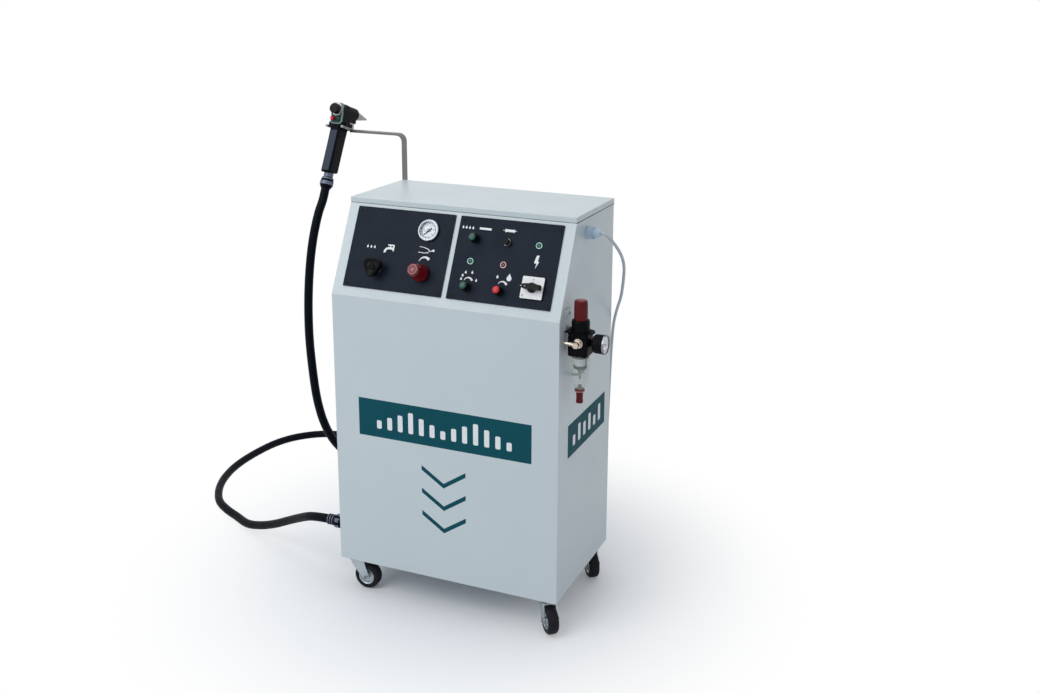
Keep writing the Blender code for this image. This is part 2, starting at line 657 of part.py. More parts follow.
def make_lid_hinge(frame):
    steel = material("zinc_steel")
    place = move(0.0, HINGE_Y, HINGE_Z)
    length = HINGE_KNUCKLE * 2.5
    leaf_y = REAR + GAP - HINGE_Y
    leaf = box((-length, leaf_y, -HINGE_LEAF_HEIGHT), (length, leaf_y + HINGE_LEAF, -HINGE_RADIUS - GAP))
    hinge = piece("lid_hinge", leaf, steel, frame, place)
    pin = turned([(0.0, length), (HINGE_PIN_RADIUS, length), (HINGE_PIN_RADIUS, -length), (0.0, -length)],
                 12, place=turn("Y", 90) @ turn("Z", 15))
    tabs = bmesh.new()
    knuckles = bmesh.new()
    half = HINGE_KNUCKLE / 2
    for step in (-2, 0, 2):
        x = step * HINGE_KNUCKLE
        box((x - half, leaf_y, -HINGE_RADIUS - 0.001), (x + half, leaf_y + HINGE_LEAF, -0.0004), tabs)
        turned([(0.0, half), (HINGE_RADIUS, half), (HINGE_RADIUS, -half), (0.0, -half)], 12, knuckles,
               move(x) @ turn("Y", 90) @ turn("Z", 15))
    join(hinge, tabs, place)
    join(hinge, knuckles, place)
    join(hinge, pin, place)
    return hinge


# Castors

def castor_places():
    x, y = SIDE - CASTOR_INSET_X, REAR - CASTOR_INSET_Y
    return {"front_left": (-x, -y), "front_right": (x, -y), "rear_left": (-x, y), "rear_right": (x, y)}


def leg_outline():
    """One fork leg seen from the side: broad at the raceway, round at the axle."""
    axle = (CASTOR_TRAIL, WHEEL_RADIUS - CASTOR_HEIGHT)
    boss = 0.0085
    top = -0.0085
    round_end = arc(axle, boss, -160, 20, 7)
    return [(RACEWAY_RADIUS - 0.001, top), (-RACEWAY_RADIUS + 0.001, top), (-0.0125, -0.017)] + round_end


def make_castor(frame, corner, x, y):
    zinc = material("zinc_steel")
    swivel = empty("castor_swivel_" + corner, frame,
                   move(x, y, BODY_FLOOR) @ turn("Z", CASTOR_TURNS[corner]))
    inner = WHEEL_WIDTH / 2 + FORK_CLEARANCE
    sideways = turn("X", 90)
    fork = piece("castor_fork_" + corner,
                 prism(leg_outline(), inner, inner + FORK_PLATE, place=sideways), zinc, swivel)
    join(fork, prism(leg_outline(), -inner - FORK_PLATE, -inner, place=sideways))
    reach = RACEWAY_RADIUS - 0.001
    join(fork, box((-reach, -inner - FORK_PLATE, -0.0085 - FORK_PLATE), (reach, inner + FORK_PLATE, -0.0084)))
    join(fork, turned([(0.0, -GAP), (0.012, -GAP), (RACEWAY_RADIUS, -0.003), (RACEWAY_RADIUS, -0.006),
                       (0.0150, -0.0095), (0.0, -0.0095)], 16))
    axle_place = move(CASTOR_TRAIL, 0.0, WHEEL_RADIUS - CASTOR_HEIGHT) @ turn("X", 90)
    end = inner + FORK_PLATE + 0.002
    head = end - 0.003
    join(fork, turned([(0.0, end), (0.0060, end), (0.0060, head), (AXLE_RADIUS, head), (AXLE_RADIUS, -head),
                       (0.0060, -head), (0.0060, -end), (0.0, -end)], 12, place=axle_place))
    axle = empty("castor_axle_" + corner, swivel, axle_place)
    rubber = material("tyre_rubber")
    half = WHEEL_WIDTH / 2
    bore = AXLE_RADIUS + GAP
    profile = [(bore, half - 0.0005), (0.0065, half - 0.0005), (0.0075, half - 0.004),
               (RIM_RADIUS - 0.002, half - 0.004),
               (RIM_RADIUS, half - 0.001), (WHEEL_RADIUS - 0.004, half - 0.0005),
               (WHEEL_RADIUS, half - 0.005)]
    lower = [(radius, -z) for radius, z in reversed(profile)]
    piece("castor_wheel_" + corner, turned(profile + lower + profile[:1], 24), rubber, axle)


# Control panels

def make_panel(name, sides, holes, fascia):
    black = material("panel_black")
    low = (sides[0], PANEL_ROWS[0])
    high = (sides[1], PANEL_ROWS[1])
    panel = piece(name, prism(rounded_outline(low, high, PANEL_CORNER, 2), GAP, FACE), black, fascia)
    cutters = bmesh.new()
    for (x, y), radius in holes:
        drill(radius, 3 * PANEL_SHEET, cutters, move(x, y))
    cut(panel, cutters)
    return panel


def make_gauge(fascia):
    steel = material("bright_steel")
    seat = 0.0045
    glass_radius = GAUGE_BEZEL_RADIUS - 0.0040
    inner = glass_radius - 0.0012
    profile = [(0.0, seat - DIAL_DEPTH + 0.0022), (0.0009, seat - DIAL_DEPTH + 0.0022),
               (0.0009, seat - DIAL_DEPTH),
               (inner, seat - DIAL_DEPTH), (inner, seat), (glass_radius + GAP, seat),
               (glass_radius + GAP, seat + 0.0022), (GAUGE_BEZEL_RADIUS - 0.0012, seat + 0.0022),
               (GAUGE_BEZEL_RADIUS, seat + 0.0008), (GAUGE_BEZEL_RADIUS, GAP), (GAUGE_CASE_RADIUS, GAP),
               (GAUGE_CASE_RADIUS, -GAUGE_DEPTH), (0.0075, -GAUGE_DEPTH), (0.0065, -GAUGE_DEPTH - 0.012),
               (0.0, -GAUGE_DEPTH - 0.012)]
    place = move(GAUGE_AT[0], GAUGE_AT[1], FACE)
    piece("gauge_case", turned(profile, 28), steel, fascia, place)
    glass = material("clear_glass")
    pane = [(0.0, seat + 0.0018), (glass_radius, seat + 0.0018), (glass_radius, seat + GAP),
            (0.0, seat + GAP)]
    piece("gauge_glass", turned(pane, 28), glass, fascia, place)
    axis = empty("gauge_axis", fascia, place @ turn("Z", NEEDLE_ZERO))
    ink = material("needle_black")
    low = seat - DIAL_DEPTH + GAP
    hub = [(0.0030, low + 0.0012), (0.0030, low), (0.0009 + GAP, low), (0.0009 + GAP, low + 0.0012),
           (0.0030, low + 0.0012)]
    needle = piece("gauge_needle", turned(hub, 16), ink, axis)
    join(needle, prism([(0.0013, 0.0018), (0.0003, 0.0155), (-0.0003, 0.0155), (-0.0013, 0.0018)],
                       low + 0.0002, low + 0.0010))
    join(needle, prism([(0.0010, -0.0080), (0.0013, -0.0018), (-0.0013, -0.0018), (-0.0010, -0.0080)],
                       low + 0.0002, low + 0.0010))


def make_valve(fascia):
    brass = material("brass")
    place = move(VALVE_AT[0], VALVE_AT[1], 0.0)
    half = 0.018
    body = piece("valve_body", box((-half, -half, -0.046), (half, half, -SHEET)),
                 brass, fascia, place)
    top = VALVE_KNOB_TOP - 0.006
    join(body, turned([(0.0, top), (VALVE_STEM_RADIUS, top), (VALVE_STEM_RADIUS, FACE + 0.0032),
                       (0.0105, FACE + 0.0032), (0.0105, FACE + GAP), (0.0075, FACE + GAP),
                       (0.0075, -0.010), (0.0, -0.010)], 18), place)
    for side in (-1, 1):
        port = turned([(0.0, 0.012), (0.0065, 0.012), (0.0065, -0.002), (0.0, -0.002)], 12,
                      place=move(side * half, 0.0, -0.028) @ turn("Y", side * 90))
        join(body, port, place)
    axis = empty("valve_axis", fascia, place)
    black = material("knob_black")
    count = 36
    low = FACE + 0.0040
    bore = VALVE_STEM_RADIUS + GAP

    def lobed(scale, z):
        points = []
        for i in range(count):
            angle = 2 * math.pi * i / count
            reach = VALVE_KNOB_RADIUS * scale * (0.88 + 0.12 * math.cos(3 * (angle - math.radians(30))))
            points.append((reach * math.cos(angle), reach * math.sin(angle), z))
        return points
    rings = [lobed(0.50, VALVE_KNOB_TOP - 0.0035), lobed(0.72, VALVE_KNOB_TOP - 0.0020),
             lobed(0.86, VALVE_KNOB_TOP),
             lobed(0.97, VALVE_KNOB_TOP - 0.0010), lobed(1.00, VALVE_KNOB_TOP - 0.0045),
             lobed(0.95, VALVE_KNOB_TOP - 0.0110),
             lobed(0.72, VALVE_KNOB_TOP - 0.0150), lobed(0.62, low), circle(bore, low, count),
             circle(bore, top + GAP, count)]
    piece("valve_knob", loft(rings), black, axis)


def make_pressure_regulator(fascia):
    cast = material("grey_casting")
    place = move(PRESSURE_AT[0], PRESSURE_AT[1], 0.0)
    stem_top = PRESSURE_KNOB_TOP - 0.012
    profile = [(0.0, stem_top), (PRESSURE_STEM_RADIUS, stem_top), (PRESSURE_STEM_RADIUS, FACE + 0.0035),
               (PRESSURE_NECK_RADIUS + 0.003, FACE + 0.0035), (PRESSURE_NECK_RADIUS + 0.003, FACE + GAP),
               (PRESSURE_NECK_RADIUS, FACE + GAP), (PRESSURE_NECK_RADIUS, -SHEET - GAP),
               (0.0215, -SHEET - GAP),
               (0.0215, -0.040), (0.0150, -0.044), (0.0150, -0.058), (0.0, -0.058)]
    piece("pressure_regulator", turned(profile, 20), cast, fascia, place)
    axis = empty("pressure_axis", fascia, place)
    red = material("dark_red_plastic")
    low = FACE + 0.0045
    bore = PRESSURE_STEM_RADIUS + GAP
    count = 36
    flutes = 12
    rings = [circle(PRESSURE_NOSE_RADIUS * 0.55, PRESSURE_KNOB_TOP, count),
             circle(PRESSURE_NOSE_RADIUS * 0.9, PRESSURE_KNOB_TOP - 0.0010, count),
             circle(PRESSURE_NOSE_RADIUS, PRESSURE_KNOB_TOP - 0.0035, count),
             fluted_ring(PRESSURE_NOSE_RADIUS + 0.0010, PRESSURE_KNOB_TOP - 0.0080, count, flutes, 0.0014),
             fluted_ring(PRESSURE_NOSE_RADIUS + 0.0028, low + 0.0120, count, flutes, 0.0018),
             fluted_ring(PRESSURE_SKIRT_RADIUS, low + 0.0050, count, flutes, 0.0014),
             circle(PRESSURE_SKIRT_RADIUS, low, count), circle(bore, low, count),
             circle(bore, stem_top + GAP, count)]
    piece("pressure_knob", loft(rings), red, axis)


def make_knob(name, at, fascia):
    axis = empty(name + "_axis", fascia, move(at[0], at[1], 0.0) @ turn("Z", KNOB_POINTING))
    mat = material(name + "_plastic")
    low = FACE + 0.0032
    bore = SHAFT_RADIUS + GAP
    count = 24
    rings = [circle(KNOB_CAP_RADIUS * 0.80, KNOB_TOP, count),
             circle(KNOB_CAP_RADIUS, KNOB_TOP - 0.0012, count),
             circle(KNOB_CAP_RADIUS, KNOB_TOP - 0.0030, count),
             fluted_ring(KNOB_CAP_RADIUS + 0.0009, KNOB_TOP - 0.0034, count, 12, 0.0007),
             fluted_ring(KNOB_RADIUS - 0.0006, low + 0.0040, count, 12, 0.0008),
             circle(KNOB_RADIUS, low + 0.0030, count), circle(KNOB_RADIUS, low, count),
             circle(bore, low, count),
             circle(bore, KNOB_TOP - 0.0060 + GAP, count)]
    piece(name, loft(rings), mat, axis)


def make_control_board(fascia):
    green = material("board_green")
    left, right = MODE_AT[0] - BOARD_MARGIN, TIME_AT[0] + BOARD_MARGIN
    low, high = DOSE_AT[1] - BOARD_MARGIN, MODE_AT[1] + BOARD_MARGIN
    step_x, step_y = FUSE_AT[0] - BOARD_CLEAR, FUSE_AT[1] - BOARD_CLEAR
    outline = [(left, low), (right, low), (right, step_y), (step_x, step_y), (step_x, high), (left, high)]
    board = piece("control_board", prism(outline, -BOARD_DEPTH - BOARD_SHEET, -BOARD_DEPTH), green, fascia)
    top = KNOB_TOP - 0.0060
    for at in (MODE_AT, DOSE_AT, TIME_AT):
        pot = [(0.0, top), (SHAFT_RADIUS, top), (SHAFT_RADIUS, FACE + 0.0026), (0.0062, FACE + 0.0026),
               (0.0062, FACE + GAP), (0.0042, FACE + GAP), (0.0042, -SHEET), (0.0082, -SHEET),
               (0.0082, -BOARD_DEPTH - BOARD_SHEET / 2), (0.0, -BOARD_DEPTH - BOARD_SHEET / 2)]
        join(board, turned(pot, 16, place=move(at[0], at[1], 0.0)))
    middle = -BOARD_DEPTH - BOARD_SHEET / 2
    join(board, box((left + 0.028, low + 0.028, middle - 0.035), (left + 0.078, low + 0.073, middle)))
    return board


def make_fuse(fascia):
    black = material("knob_black")
    place = move(FUSE_AT[0], FUSE_AT[1], 0.0)
    bore = 0.0047
    profile = [(0.0, -0.008), (bore, -0.008), (bore, FACE + 0.0040), (FUSE_RADIUS - 0.001, FACE + 0.0040),
               (FUSE_RADIUS, FACE + 0.0025), (FUSE_RADIUS, FACE + GAP), (0.0065, FACE + GAP),
               (0.0065, -0.036), (0.0, -0.036)]
    piece("fuse_holder", turned(profile, 20), black, fascia, place)
    axis = empty("fuse_axis", fascia, place)
    low = FACE + 0.0040 + GAP
    top = low + 0.0085
    plug = bore - GAP
    cap = piece("fuse_cap", turned([(0.0, top), (FUSE_CAP_RADIUS - 0.0008, top),
                                    (FUSE_CAP_RADIUS, top - 0.0010),
                                    (FUSE_CAP_RADIUS, low), (plug, low), (plug, -0.006), (0.0, -0.006)], 20),
                black, axis)
    cut(cap, box((-0.010, -0.0007, top - 0.0016), (0.010, 0.0007, top + 0.002)))


def make_lamp(name, at, fascia):
    chrome = material("bright_steel")
    profile = [(0.0, FACE + 0.0026), (0.0020, FACE + 0.0023), (0.0038, FACE + 0.0014),
               (0.0044, FACE + 0.0024),
               (0.0060, FACE + 0.0036), (LAMP_RADIUS, FACE + 0.0022), (LAMP_RADIUS, FACE + GAP),
               (0.0045, FACE + GAP), (0.0045, -0.018), (0.0, -0.018)]
    piece(name, turned(profile, 20), chrome, fascia, move(at[0], at[1], 0.0))


def make_main_switch(fascia):
    black = material("knob_black")
    place = move(SWITCH_AT[0], SWITCH_AT[1], 0.0)
    half = SWITCH_SIZE / 2
    plate = prism(rounded_outline((-half, -half + 0.001), (half, half - 0.001), 0.002), FACE + GAP,
                  SWITCH_BASE_TOP)
    switch = piece("main_switch", plate, black, fascia, place)
    join(switch, turned([(0.0, SWITCH_HUB_TOP), (SWITCH_HUB_RADIUS, SWITCH_HUB_TOP),
                         (SWITCH_HUB_RADIUS, SWITCH_BASE_TOP - 0.001),
                         (SWITCH_NECK_RADIUS, SWITCH_BASE_TOP - 0.001), (SWITCH_NECK_RADIUS, -0.004),
                         (0.0, -0.004)],
                        20), place)
    rear = half - 0.0025
    join(switch, box((-rear, -rear, -SWITCH_DEPTH), (rear, rear, -SHEET - GAP)), place)
    axis = empty("switch_axis", fascia, place)
    low = SWITCH_BASE_TOP + GAP
    bore = SWITCH_HUB_RADIUS + GAP
    dial = [(0.0, LEVER_TOP - 0.006), (0.0085, LEVER_TOP - 0.006), (0.0105, low + 0.004), (0.0105, low),
            (bore, low), (bore, SWITCH_HUB_TOP + GAP), (0.0, SWITCH_HUB_TOP + GAP)]
    lever = piece("switch_lever", turned(dial, 24), black, axis)
    handle = [(-0.0225, 0.0), (-0.0160, 0.0042), (-0.0080, 0.0058), (0.0080, 0.0062), (0.0215, 0.0048),
              (0.0215, -0.0048), (0.0080, -0.0062), (-0.0080, -0.0058), (-0.0160, -0.0042)]
    join(lever, prism(list(reversed(handle)), SWITCH_HUB_TOP + 0.0015, LEVER_TOP))


# Air filter regulator

def make_filter(frame):
    unit = empty("filter_frame", frame, move(FILTER_X, FILTER_Y, FILTER_Z))
    black = material("black_plastic")
    half = FILTER_SIZE / 2
    low = -FILTER_BODY_HEIGHT
    square = rounded_outline((-half, -half), (half, half), FILTER_CORNER)
    body = piece("filter_body", prism(square, low, 0.0), black, unit)
    round_edges(body, 0.0015, 1)
    face = half + FILTER_BOSS
    for side in (-1, 1):
        boss = turned([(0.0, face), (0.0105, face), (0.0105, half - 0.004), (0.0, half - 0.004)], 16,
                      place=move(0.0, 0.0, NIPPLE_Z) @ turn("X", 90 * side))
        join(body, boss)
    gauge_place = move(0.0, 0.0, NIPPLE_Z - FILTER_GAUGE_DROP) @ turn("Y", 90)
    join(body, turned([(0.0, face), (0.0085, face), (0.0085, half - 0.004), (0.0, half - 0.004)], 16,
                      place=gauge_place))
    join(body, turned([(0.0, low + 0.001), (BOWL_RADIUS - 0.003, low + 0.001),
                       (BOWL_RADIUS - 0.003, low - BOWL_SEAT), (0.0, low - BOWL_SEAT)], 24))

    sheet = FILTER_BRACKET_SHEET
    wall = -FILTER_OFFSET + GAP
    leg = FILTER_BRACKET_HALF
    shoulder = 0.0235
    plate = [(wall, -leg), (0.004, -shoulder)] + arc((0.012, 0.0), 0.0180, -60, 60, 5)
    plate = plate + [(0.004, shoulder), (wall, leg)]
    bracket = piece("filter_bracket", prism(plate, GAP, GAP + sheet), black, unit)
    join(bracket, box((wall, -leg, GAP), (wall + sheet, leg, GAP + FILTER_BRACKET_HEIGHT)))
    hole = FILTER_NECK_RADIUS + GAP
    cut(bracket, turned([(0.0, 0.01), (hole, 0.01), (hole, -0.01), (0.0, -0.01)], 24))

    seat = GAP + sheet + GAP
    top = FILTER_BONNET_TOP
    collar = FILTER_BONNET_RADIUS + 0.0012
    stud_top = top + FILTER_STUD_HEIGHT
    bonnet = [(0.0, stud_top), (FILTER_STUD_RADIUS, stud_top), (FILTER_STUD_RADIUS, top),
              (FILTER_BONNET_RADIUS - 0.0015, top), (FILTER_BONNET_RADIUS, top - 0.003),
              (FILTER_BONNET_RADIUS, seat + 0.004), (collar, seat + 0.003), (collar, seat),
              (FILTER_NECK_RADIUS, seat), (FILTER_NECK_RADIUS, GAP), (0.0, GAP)]
    piece("filter_bonnet", turned(bonnet, 24), black, unit)

    axis = empty("filter_knob_axis", unit, move(0.0, 0.0, top + GAP))
    red = material("dark_red_plastic")
    tall = FILTER_KNOB_TOP - top - GAP
    radius = FILTER_KNOB_RADIUS
    bore = FILTER_STUD_RADIUS + GAP
    count = 32
    flutes = 16
    rings = [circle(radius - 0.0022, tall, count), circle(radius - 0.0008, tall - 0.0012, count),
             circle(radius - 0.0006, tall - 0.0040, count),
             fluted_ring(radius - 0.0002, tall - 0.0050, count, flutes, 0.0009),
             fluted_ring(radius, 0.0030, count, flutes, 0.0009),
             circle(radius, 0.0015, count), circle(radius, 0.0, count), circle(bore, 0.0, count),
             circle(bore, FILTER_STUD_HEIGHT + GAP, count)]
    piece("filter_knob", loft(rings), red, axis)

    rim = low - GAP
    inner = BOWL_RADIUS - BOWL_WALL
    step = rim - 0.012
    shoulder = rim - 0.016
    bowl = [(BOWL_RADIUS, rim), (BOWL_RADIUS, step), (BOWL_RADIUS - 0.0012, shoulder),
            (BOWL_RADIUS - 0.0022, BOWL_BOTTOM + 0.018), (BOWL_RADIUS - 0.006, BOWL_BOTTOM + 0.006),
            (0.0105, BOWL_BOTTOM), (DRAIN_HOLE, BOWL_BOTTOM), (DRAIN_HOLE, BOWL_BOTTOM + 0.003),
            (0.0095, BOWL_BOTTOM + 0.003), (inner - 0.006, BOWL_BOTTOM + 0.008),
            (inner - 0.0022, BOWL_BOTTOM + 0.018), (inner - 0.0004, shoulder), (inner, step), (inner, rim)]
    piece("filter_bowl", turned(bowl + bowl[:1], 24), material("clear_plastic"), unit)

    hang = low - BOWL_SEAT - GAP
    baffle = hang - 0.0170
    element = [(0.0, hang), (ELEMENT_RADIUS, hang), (ELEMENT_RADIUS, baffle),
               (BAFFLE_RADIUS, baffle - 0.0010),
               (BAFFLE_RADIUS, baffle - 0.0060), (0.0060, baffle - 0.0070), (0.0035, baffle - 0.0165),
               (0.0025, baffle - 0.0285), (0.0, baffle - 0.0285)]
    piece("filter_element", turned(element, 20), material("filter_white"), unit)

    drain_axis = empty("filter_drain_axis", unit, move(0.0, 0.0, BOWL_BOTTOM))
    foot = DRAIN_BOTTOM - BOWL_BOTTOM
    stem = DRAIN_HOLE - GAP
    drain = [(0.0, 0.0075), (stem, 0.0075), (stem, -GAP), (0.0100, -GAP), (0.0105, -0.0025),
             (0.0100, -0.0050),
             (0.0072, -0.0075), (0.0066, foot + 0.010), (0.0074, foot + 0.002), (0.0070, foot), (0.0, foot)]
    piece("filter_drain", turned(drain, 20), red, drain_axis)

    start = face + GAP
    end = FILTER_GAUGE_REACH
    back = start + 0.006
    radius = FILTER_GAUGE_RADIUS
    glass = radius - 0.0022
    case = [(0.0, end - FILTER_GLASS_DEPTH), (glass, end - FILTER_GLASS_DEPTH), (glass, end),
            (radius - 0.0006, end),
            (radius + 0.0003, end - 0.0015), (radius + 0.0003, end - 0.0045), (radius - 0.0004, end - 0.0050),
            (radius - 0.0010, back + 0.003), (radius - 0.0035, back), (0.0062, back), (0.0062, start),
            (0.0, start)]
    piece("filter_gauge", turned(case, 24), black, unit, gauge_place)

    inlet = move(NIPPLE_X, -face - GAP, NIPPLE_Z)
    nut = turned([(0.0, 0.0), (0.0085, 0.0), (0.0085, -0.006), (0.0068, -0.0075), (0.0068, -0.016),
                  (0.0, -0.016)], 6,
                 place=turn("X", -90))
    nipple = piece("inlet_nipple", nut, material("bright_steel"), unit, inlet)
    barb = [(0.0, 0.0270), (0.0024, 0.0270), (0.0042, 0.0225), (0.0032, 0.0222), (0.0044, 0.0165),
            (0.0034, 0.0162),
            (0.0048, 0.0100), (0.0036, 0.0096), (0.0052, 0.0040), (0.0052, -0.004), (0.0, -0.004)]
    join(nipple, turned(barb, 14, place=move(0.0, -0.0110, 0.0) @ turn("Y", -85)), inlet)

    y = FILTER_OUT_Y
    wall_z = AIR_TUBE_WALL_Z
    drop = [(0.0, y, NIPPLE_Z - 0.0120), (0.0, y, NIPPLE_Z - 0.0300), (0.0, y, NIPPLE_Z - 0.0480),
            (-0.0010, y, NIPPLE_Z - 0.0650), (-0.0070, y, wall_z + 0.0090), (-0.0160, y, wall_z + 0.0015),
            (-0.0240, y, wall_z), (-FILTER_OFFSET - 0.0120, y, wall_z)]
    tube("outlet_tube", drop, 0.008, 2 * AIR_TUBE_RADIUS, material("air_tube_grey"), unit)
    elbow = turned([(0.0, 0.0075), (0.0065, 0.0075), (0.0065, -0.0115), (0.0, -0.0115)], 14)
    join(body, elbow, move(0.0, y, NIPPLE_Z))
    join(body, turned([(0.0, 0.0), (0.0060, 0.0), (0.0060, -0.014), (0.0, -0.014)], 14,
                      place=move(0.0, y, NIPPLE_Z) @ turn("X", -90)))


# Mains cable

def make_cable(frame):
    grey = material("gland_grey")
    bore = GLAND_RADIUS * 0.72
    profile = [(0.0, GLAND_LENGTH), (0.0052, GLAND_LENGTH), (0.0085, GLAND_LENGTH - 0.006),
               (0.0112, GLAND_LENGTH - 0.010), (0.0118, 0.0110), (0.0128, 0.0105), (GLAND_RADIUS, 0.0095),
               (GLAND_RADIUS, GAP), (bore, GAP), (bore, -0.012), (0.0, -0.012)]
    piece("cable_gland", turned(profile, 20), grey, frame, move(SIDE, GLAND_Y, GLAND_Z) @ turn("Y", 90))
    sheath = material("cable_grey")
    tube("mains_cable", CABLE_ROUTE, 0.020, CABLE_DIAMETER, sheath, frame)
    inner, outer = COIL_TURN_RADIUS - COIL_HALF, COIL_OUTER
    edge = 0.002
    ring = [(inner + edge, COIL_HEIGHT), (outer - edge, COIL_HEIGHT), (outer, COIL_HEIGHT - edge),
            (outer, edge),
            (outer - edge, 0.0), (inner + edge, 0.0), (inner, edge), (inner, COIL_HEIGHT - edge),
            (inner + edge, COIL_HEIGHT)]
    piece("cable_coil", turned(ring, 24), sheath, frame, move(COIL_AT[0], COIL_AT[1], GAP))

    black = material("black_plastic")
    nearest = COIL_LAST_TURN - PLUG_TAIL_RADIUS
    tail_x = COIL_AT[0] + math.sqrt(COIL_OUTER ** 2 - nearest ** 2) + 2 * GAP
    tail_z = PLUG_TAIL_RADIUS * math.cos(PLUG_TILT) + GAP
    place = move(tail_x, COIL_AT[1] + COIL_LAST_TURN, tail_z) @ turn("Y", 90 - math.degrees(PLUG_TILT))
    length = PLUG_LENGTH
    shape = [(0.0, length), (PLUG_RADIUS - 0.001, length), (PLUG_RADIUS, length - 0.002),
             (PLUG_RADIUS, PLUG_SHOULDER), (0.0112, 0.020), (0.0064, 0.006), (PLUG_TAIL_RADIUS, 0.0),
             (0.0, 0.0)]
    plug = piece("mains_plug", turned(shape, 20), black, frame, place)
    for side in (-1, 1):
        pin = turned([(0.0, 0.019), (0.0016, 0.019), (0.0024, 0.017), (0.0024, -0.004), (0.0, -0.004)], 10,
                     place=move(0.0, side * 0.0095, length))
        join(plug, pin, place)


# Glue hose

def make_hose(frame):
    steel = material("zinc_steel")
    neck = HOSE_FITTING_RADIUS * 0.7
    length = HOSE_FITTING_LENGTH
    profile = [(0.0, length), (HOSE_DIAMETER / 2 + 0.0015, length), (HOSE_DIAMETER / 2 + 0.0015, 0.028),
               (HOSE_FITTING_RADIUS - 0.002, 0.0265), (HOSE_FITTING_RADIUS, 0.024),
               (HOSE_FITTING_RADIUS, 0.012),
               (HOSE_FITTING_RADIUS - 0.003, 0.010), (HOSE_FITTING_RADIUS - 0.003, 0.007),
               (HOSE_FITTING_RADIUS, 0.0065), (HOSE_FITTING_RADIUS, GAP), (neck, GAP), (neck, -0.022),
               (0.0, -0.022)]
    piece("hose_fitting", turned(profile, 18), steel, frame,
          move(-SIDE, HOSE_FITTING_Y, HOSE_FITTING_Z) @ turn("Y", -90))
    rubber = material("hose_rubber")
    gun = gun_place()
    lean = math.radians(GRIP_LEAN)
    along = Vector((0.0, -math.sin(lean), -math.cos(lean)))
    low_end = grip_centre(NUT_BOTTOM - GAP)
    exit_point = gun @ Vector((0.0, low_end, NUT_BOTTOM - GAP))
    heading = (gun.to_3x3() @ along).normalized()
    ends = [tuple(exit_point + heading * 0.030), tuple(exit_point)]
    tube("glue_hose", HOSE_ROUTE + ends, 0.045, HOSE_DIAMETER, rubber, frame)


# Gun holder

def make_holder(frame):
    steel = material("zinc_steel")
    outer = -BAR_X
    half = BAR_THICK / 2
    inner_face = -outer + half + GAP
    flange = BRACKET_FLANGE
    shape = [(inner_face, REAR + GAP), (inner_face + BRACKET_FOOT, REAR + GAP),
             (inner_face + BRACKET_FOOT, REAR + GAP + BRACKET_SHEET),
             (inner_face + BRACKET_SHEET, REAR + GAP + BRACKET_SHEET),
             (inner_face + BRACKET_SHEET, REAR + GAP + flange),
             (inner_face, REAR + GAP + flange)]
    piece("holder_bracket", prism(shape, BAR_FOOT_Z, BODY_TOP - HINGE_LEAF_HEIGHT - 0.004), steel, frame)

    gun = gun_place()
    arm_end = GUN_AT[0] + PRONG_OFFSET - ROD_RADIUS
    bend = (-outer - BAR_BEND_RADIUS, ARM_Z - BAR_BEND_RADIUS)
    outside = arc(bend, BAR_BEND_RADIUS + half, 0, 90, 7)
    inside = arc(bend, BAR_BEND_RADIUS - half, 90, 0, 7)
    outline = [(-outer + half, BAR_FOOT_Z)] + outside + [(arm_end, ARM_Z + half), (arm_end, ARM_Z - half)]
    outline = outline + inside + [(-outer - half, BAR_FOOT_Z)]
    upright = Matrix(((1, 0, 0, 0), (0, 0, 1, 0), (0, 1, 0, 0), (0, 0, 0, 1)))
    bar = piece("holder_bar", prism(outline, BAR_Y - BAR_WIDTH / 2, BAR_Y + BAR_WIDTH / 2, place=upright),
                steel, frame)
    root = (gun.inverted() @ Vector((GUN_AT[0], BAR_Y, ARM_Z))).y
    corner = PRONG_OFFSET - PRONG_BEND_RADIUS
    path = [(PRONG_OFFSET, PRONG_TIP)] + arc((corner, root - PRONG_BEND_RADIUS), PRONG_BEND_RADIUS, 0, 90, 5)
    path = path + [(-x, y) for x, y in reversed(path)]
    fork = rod([(x, y, PRONG_LINE) for x, y in path], ROD_RADIUS, 10, Vector((0, 0, 1)))
    join(bar, fork, gun)


# Gun

def gun_place():
    return move(*GUN_AT) @ turn("X", -BARREL_DROP)


def grip_centre(height):
    return height * math.tan(math.radians(GRIP_LEAN))


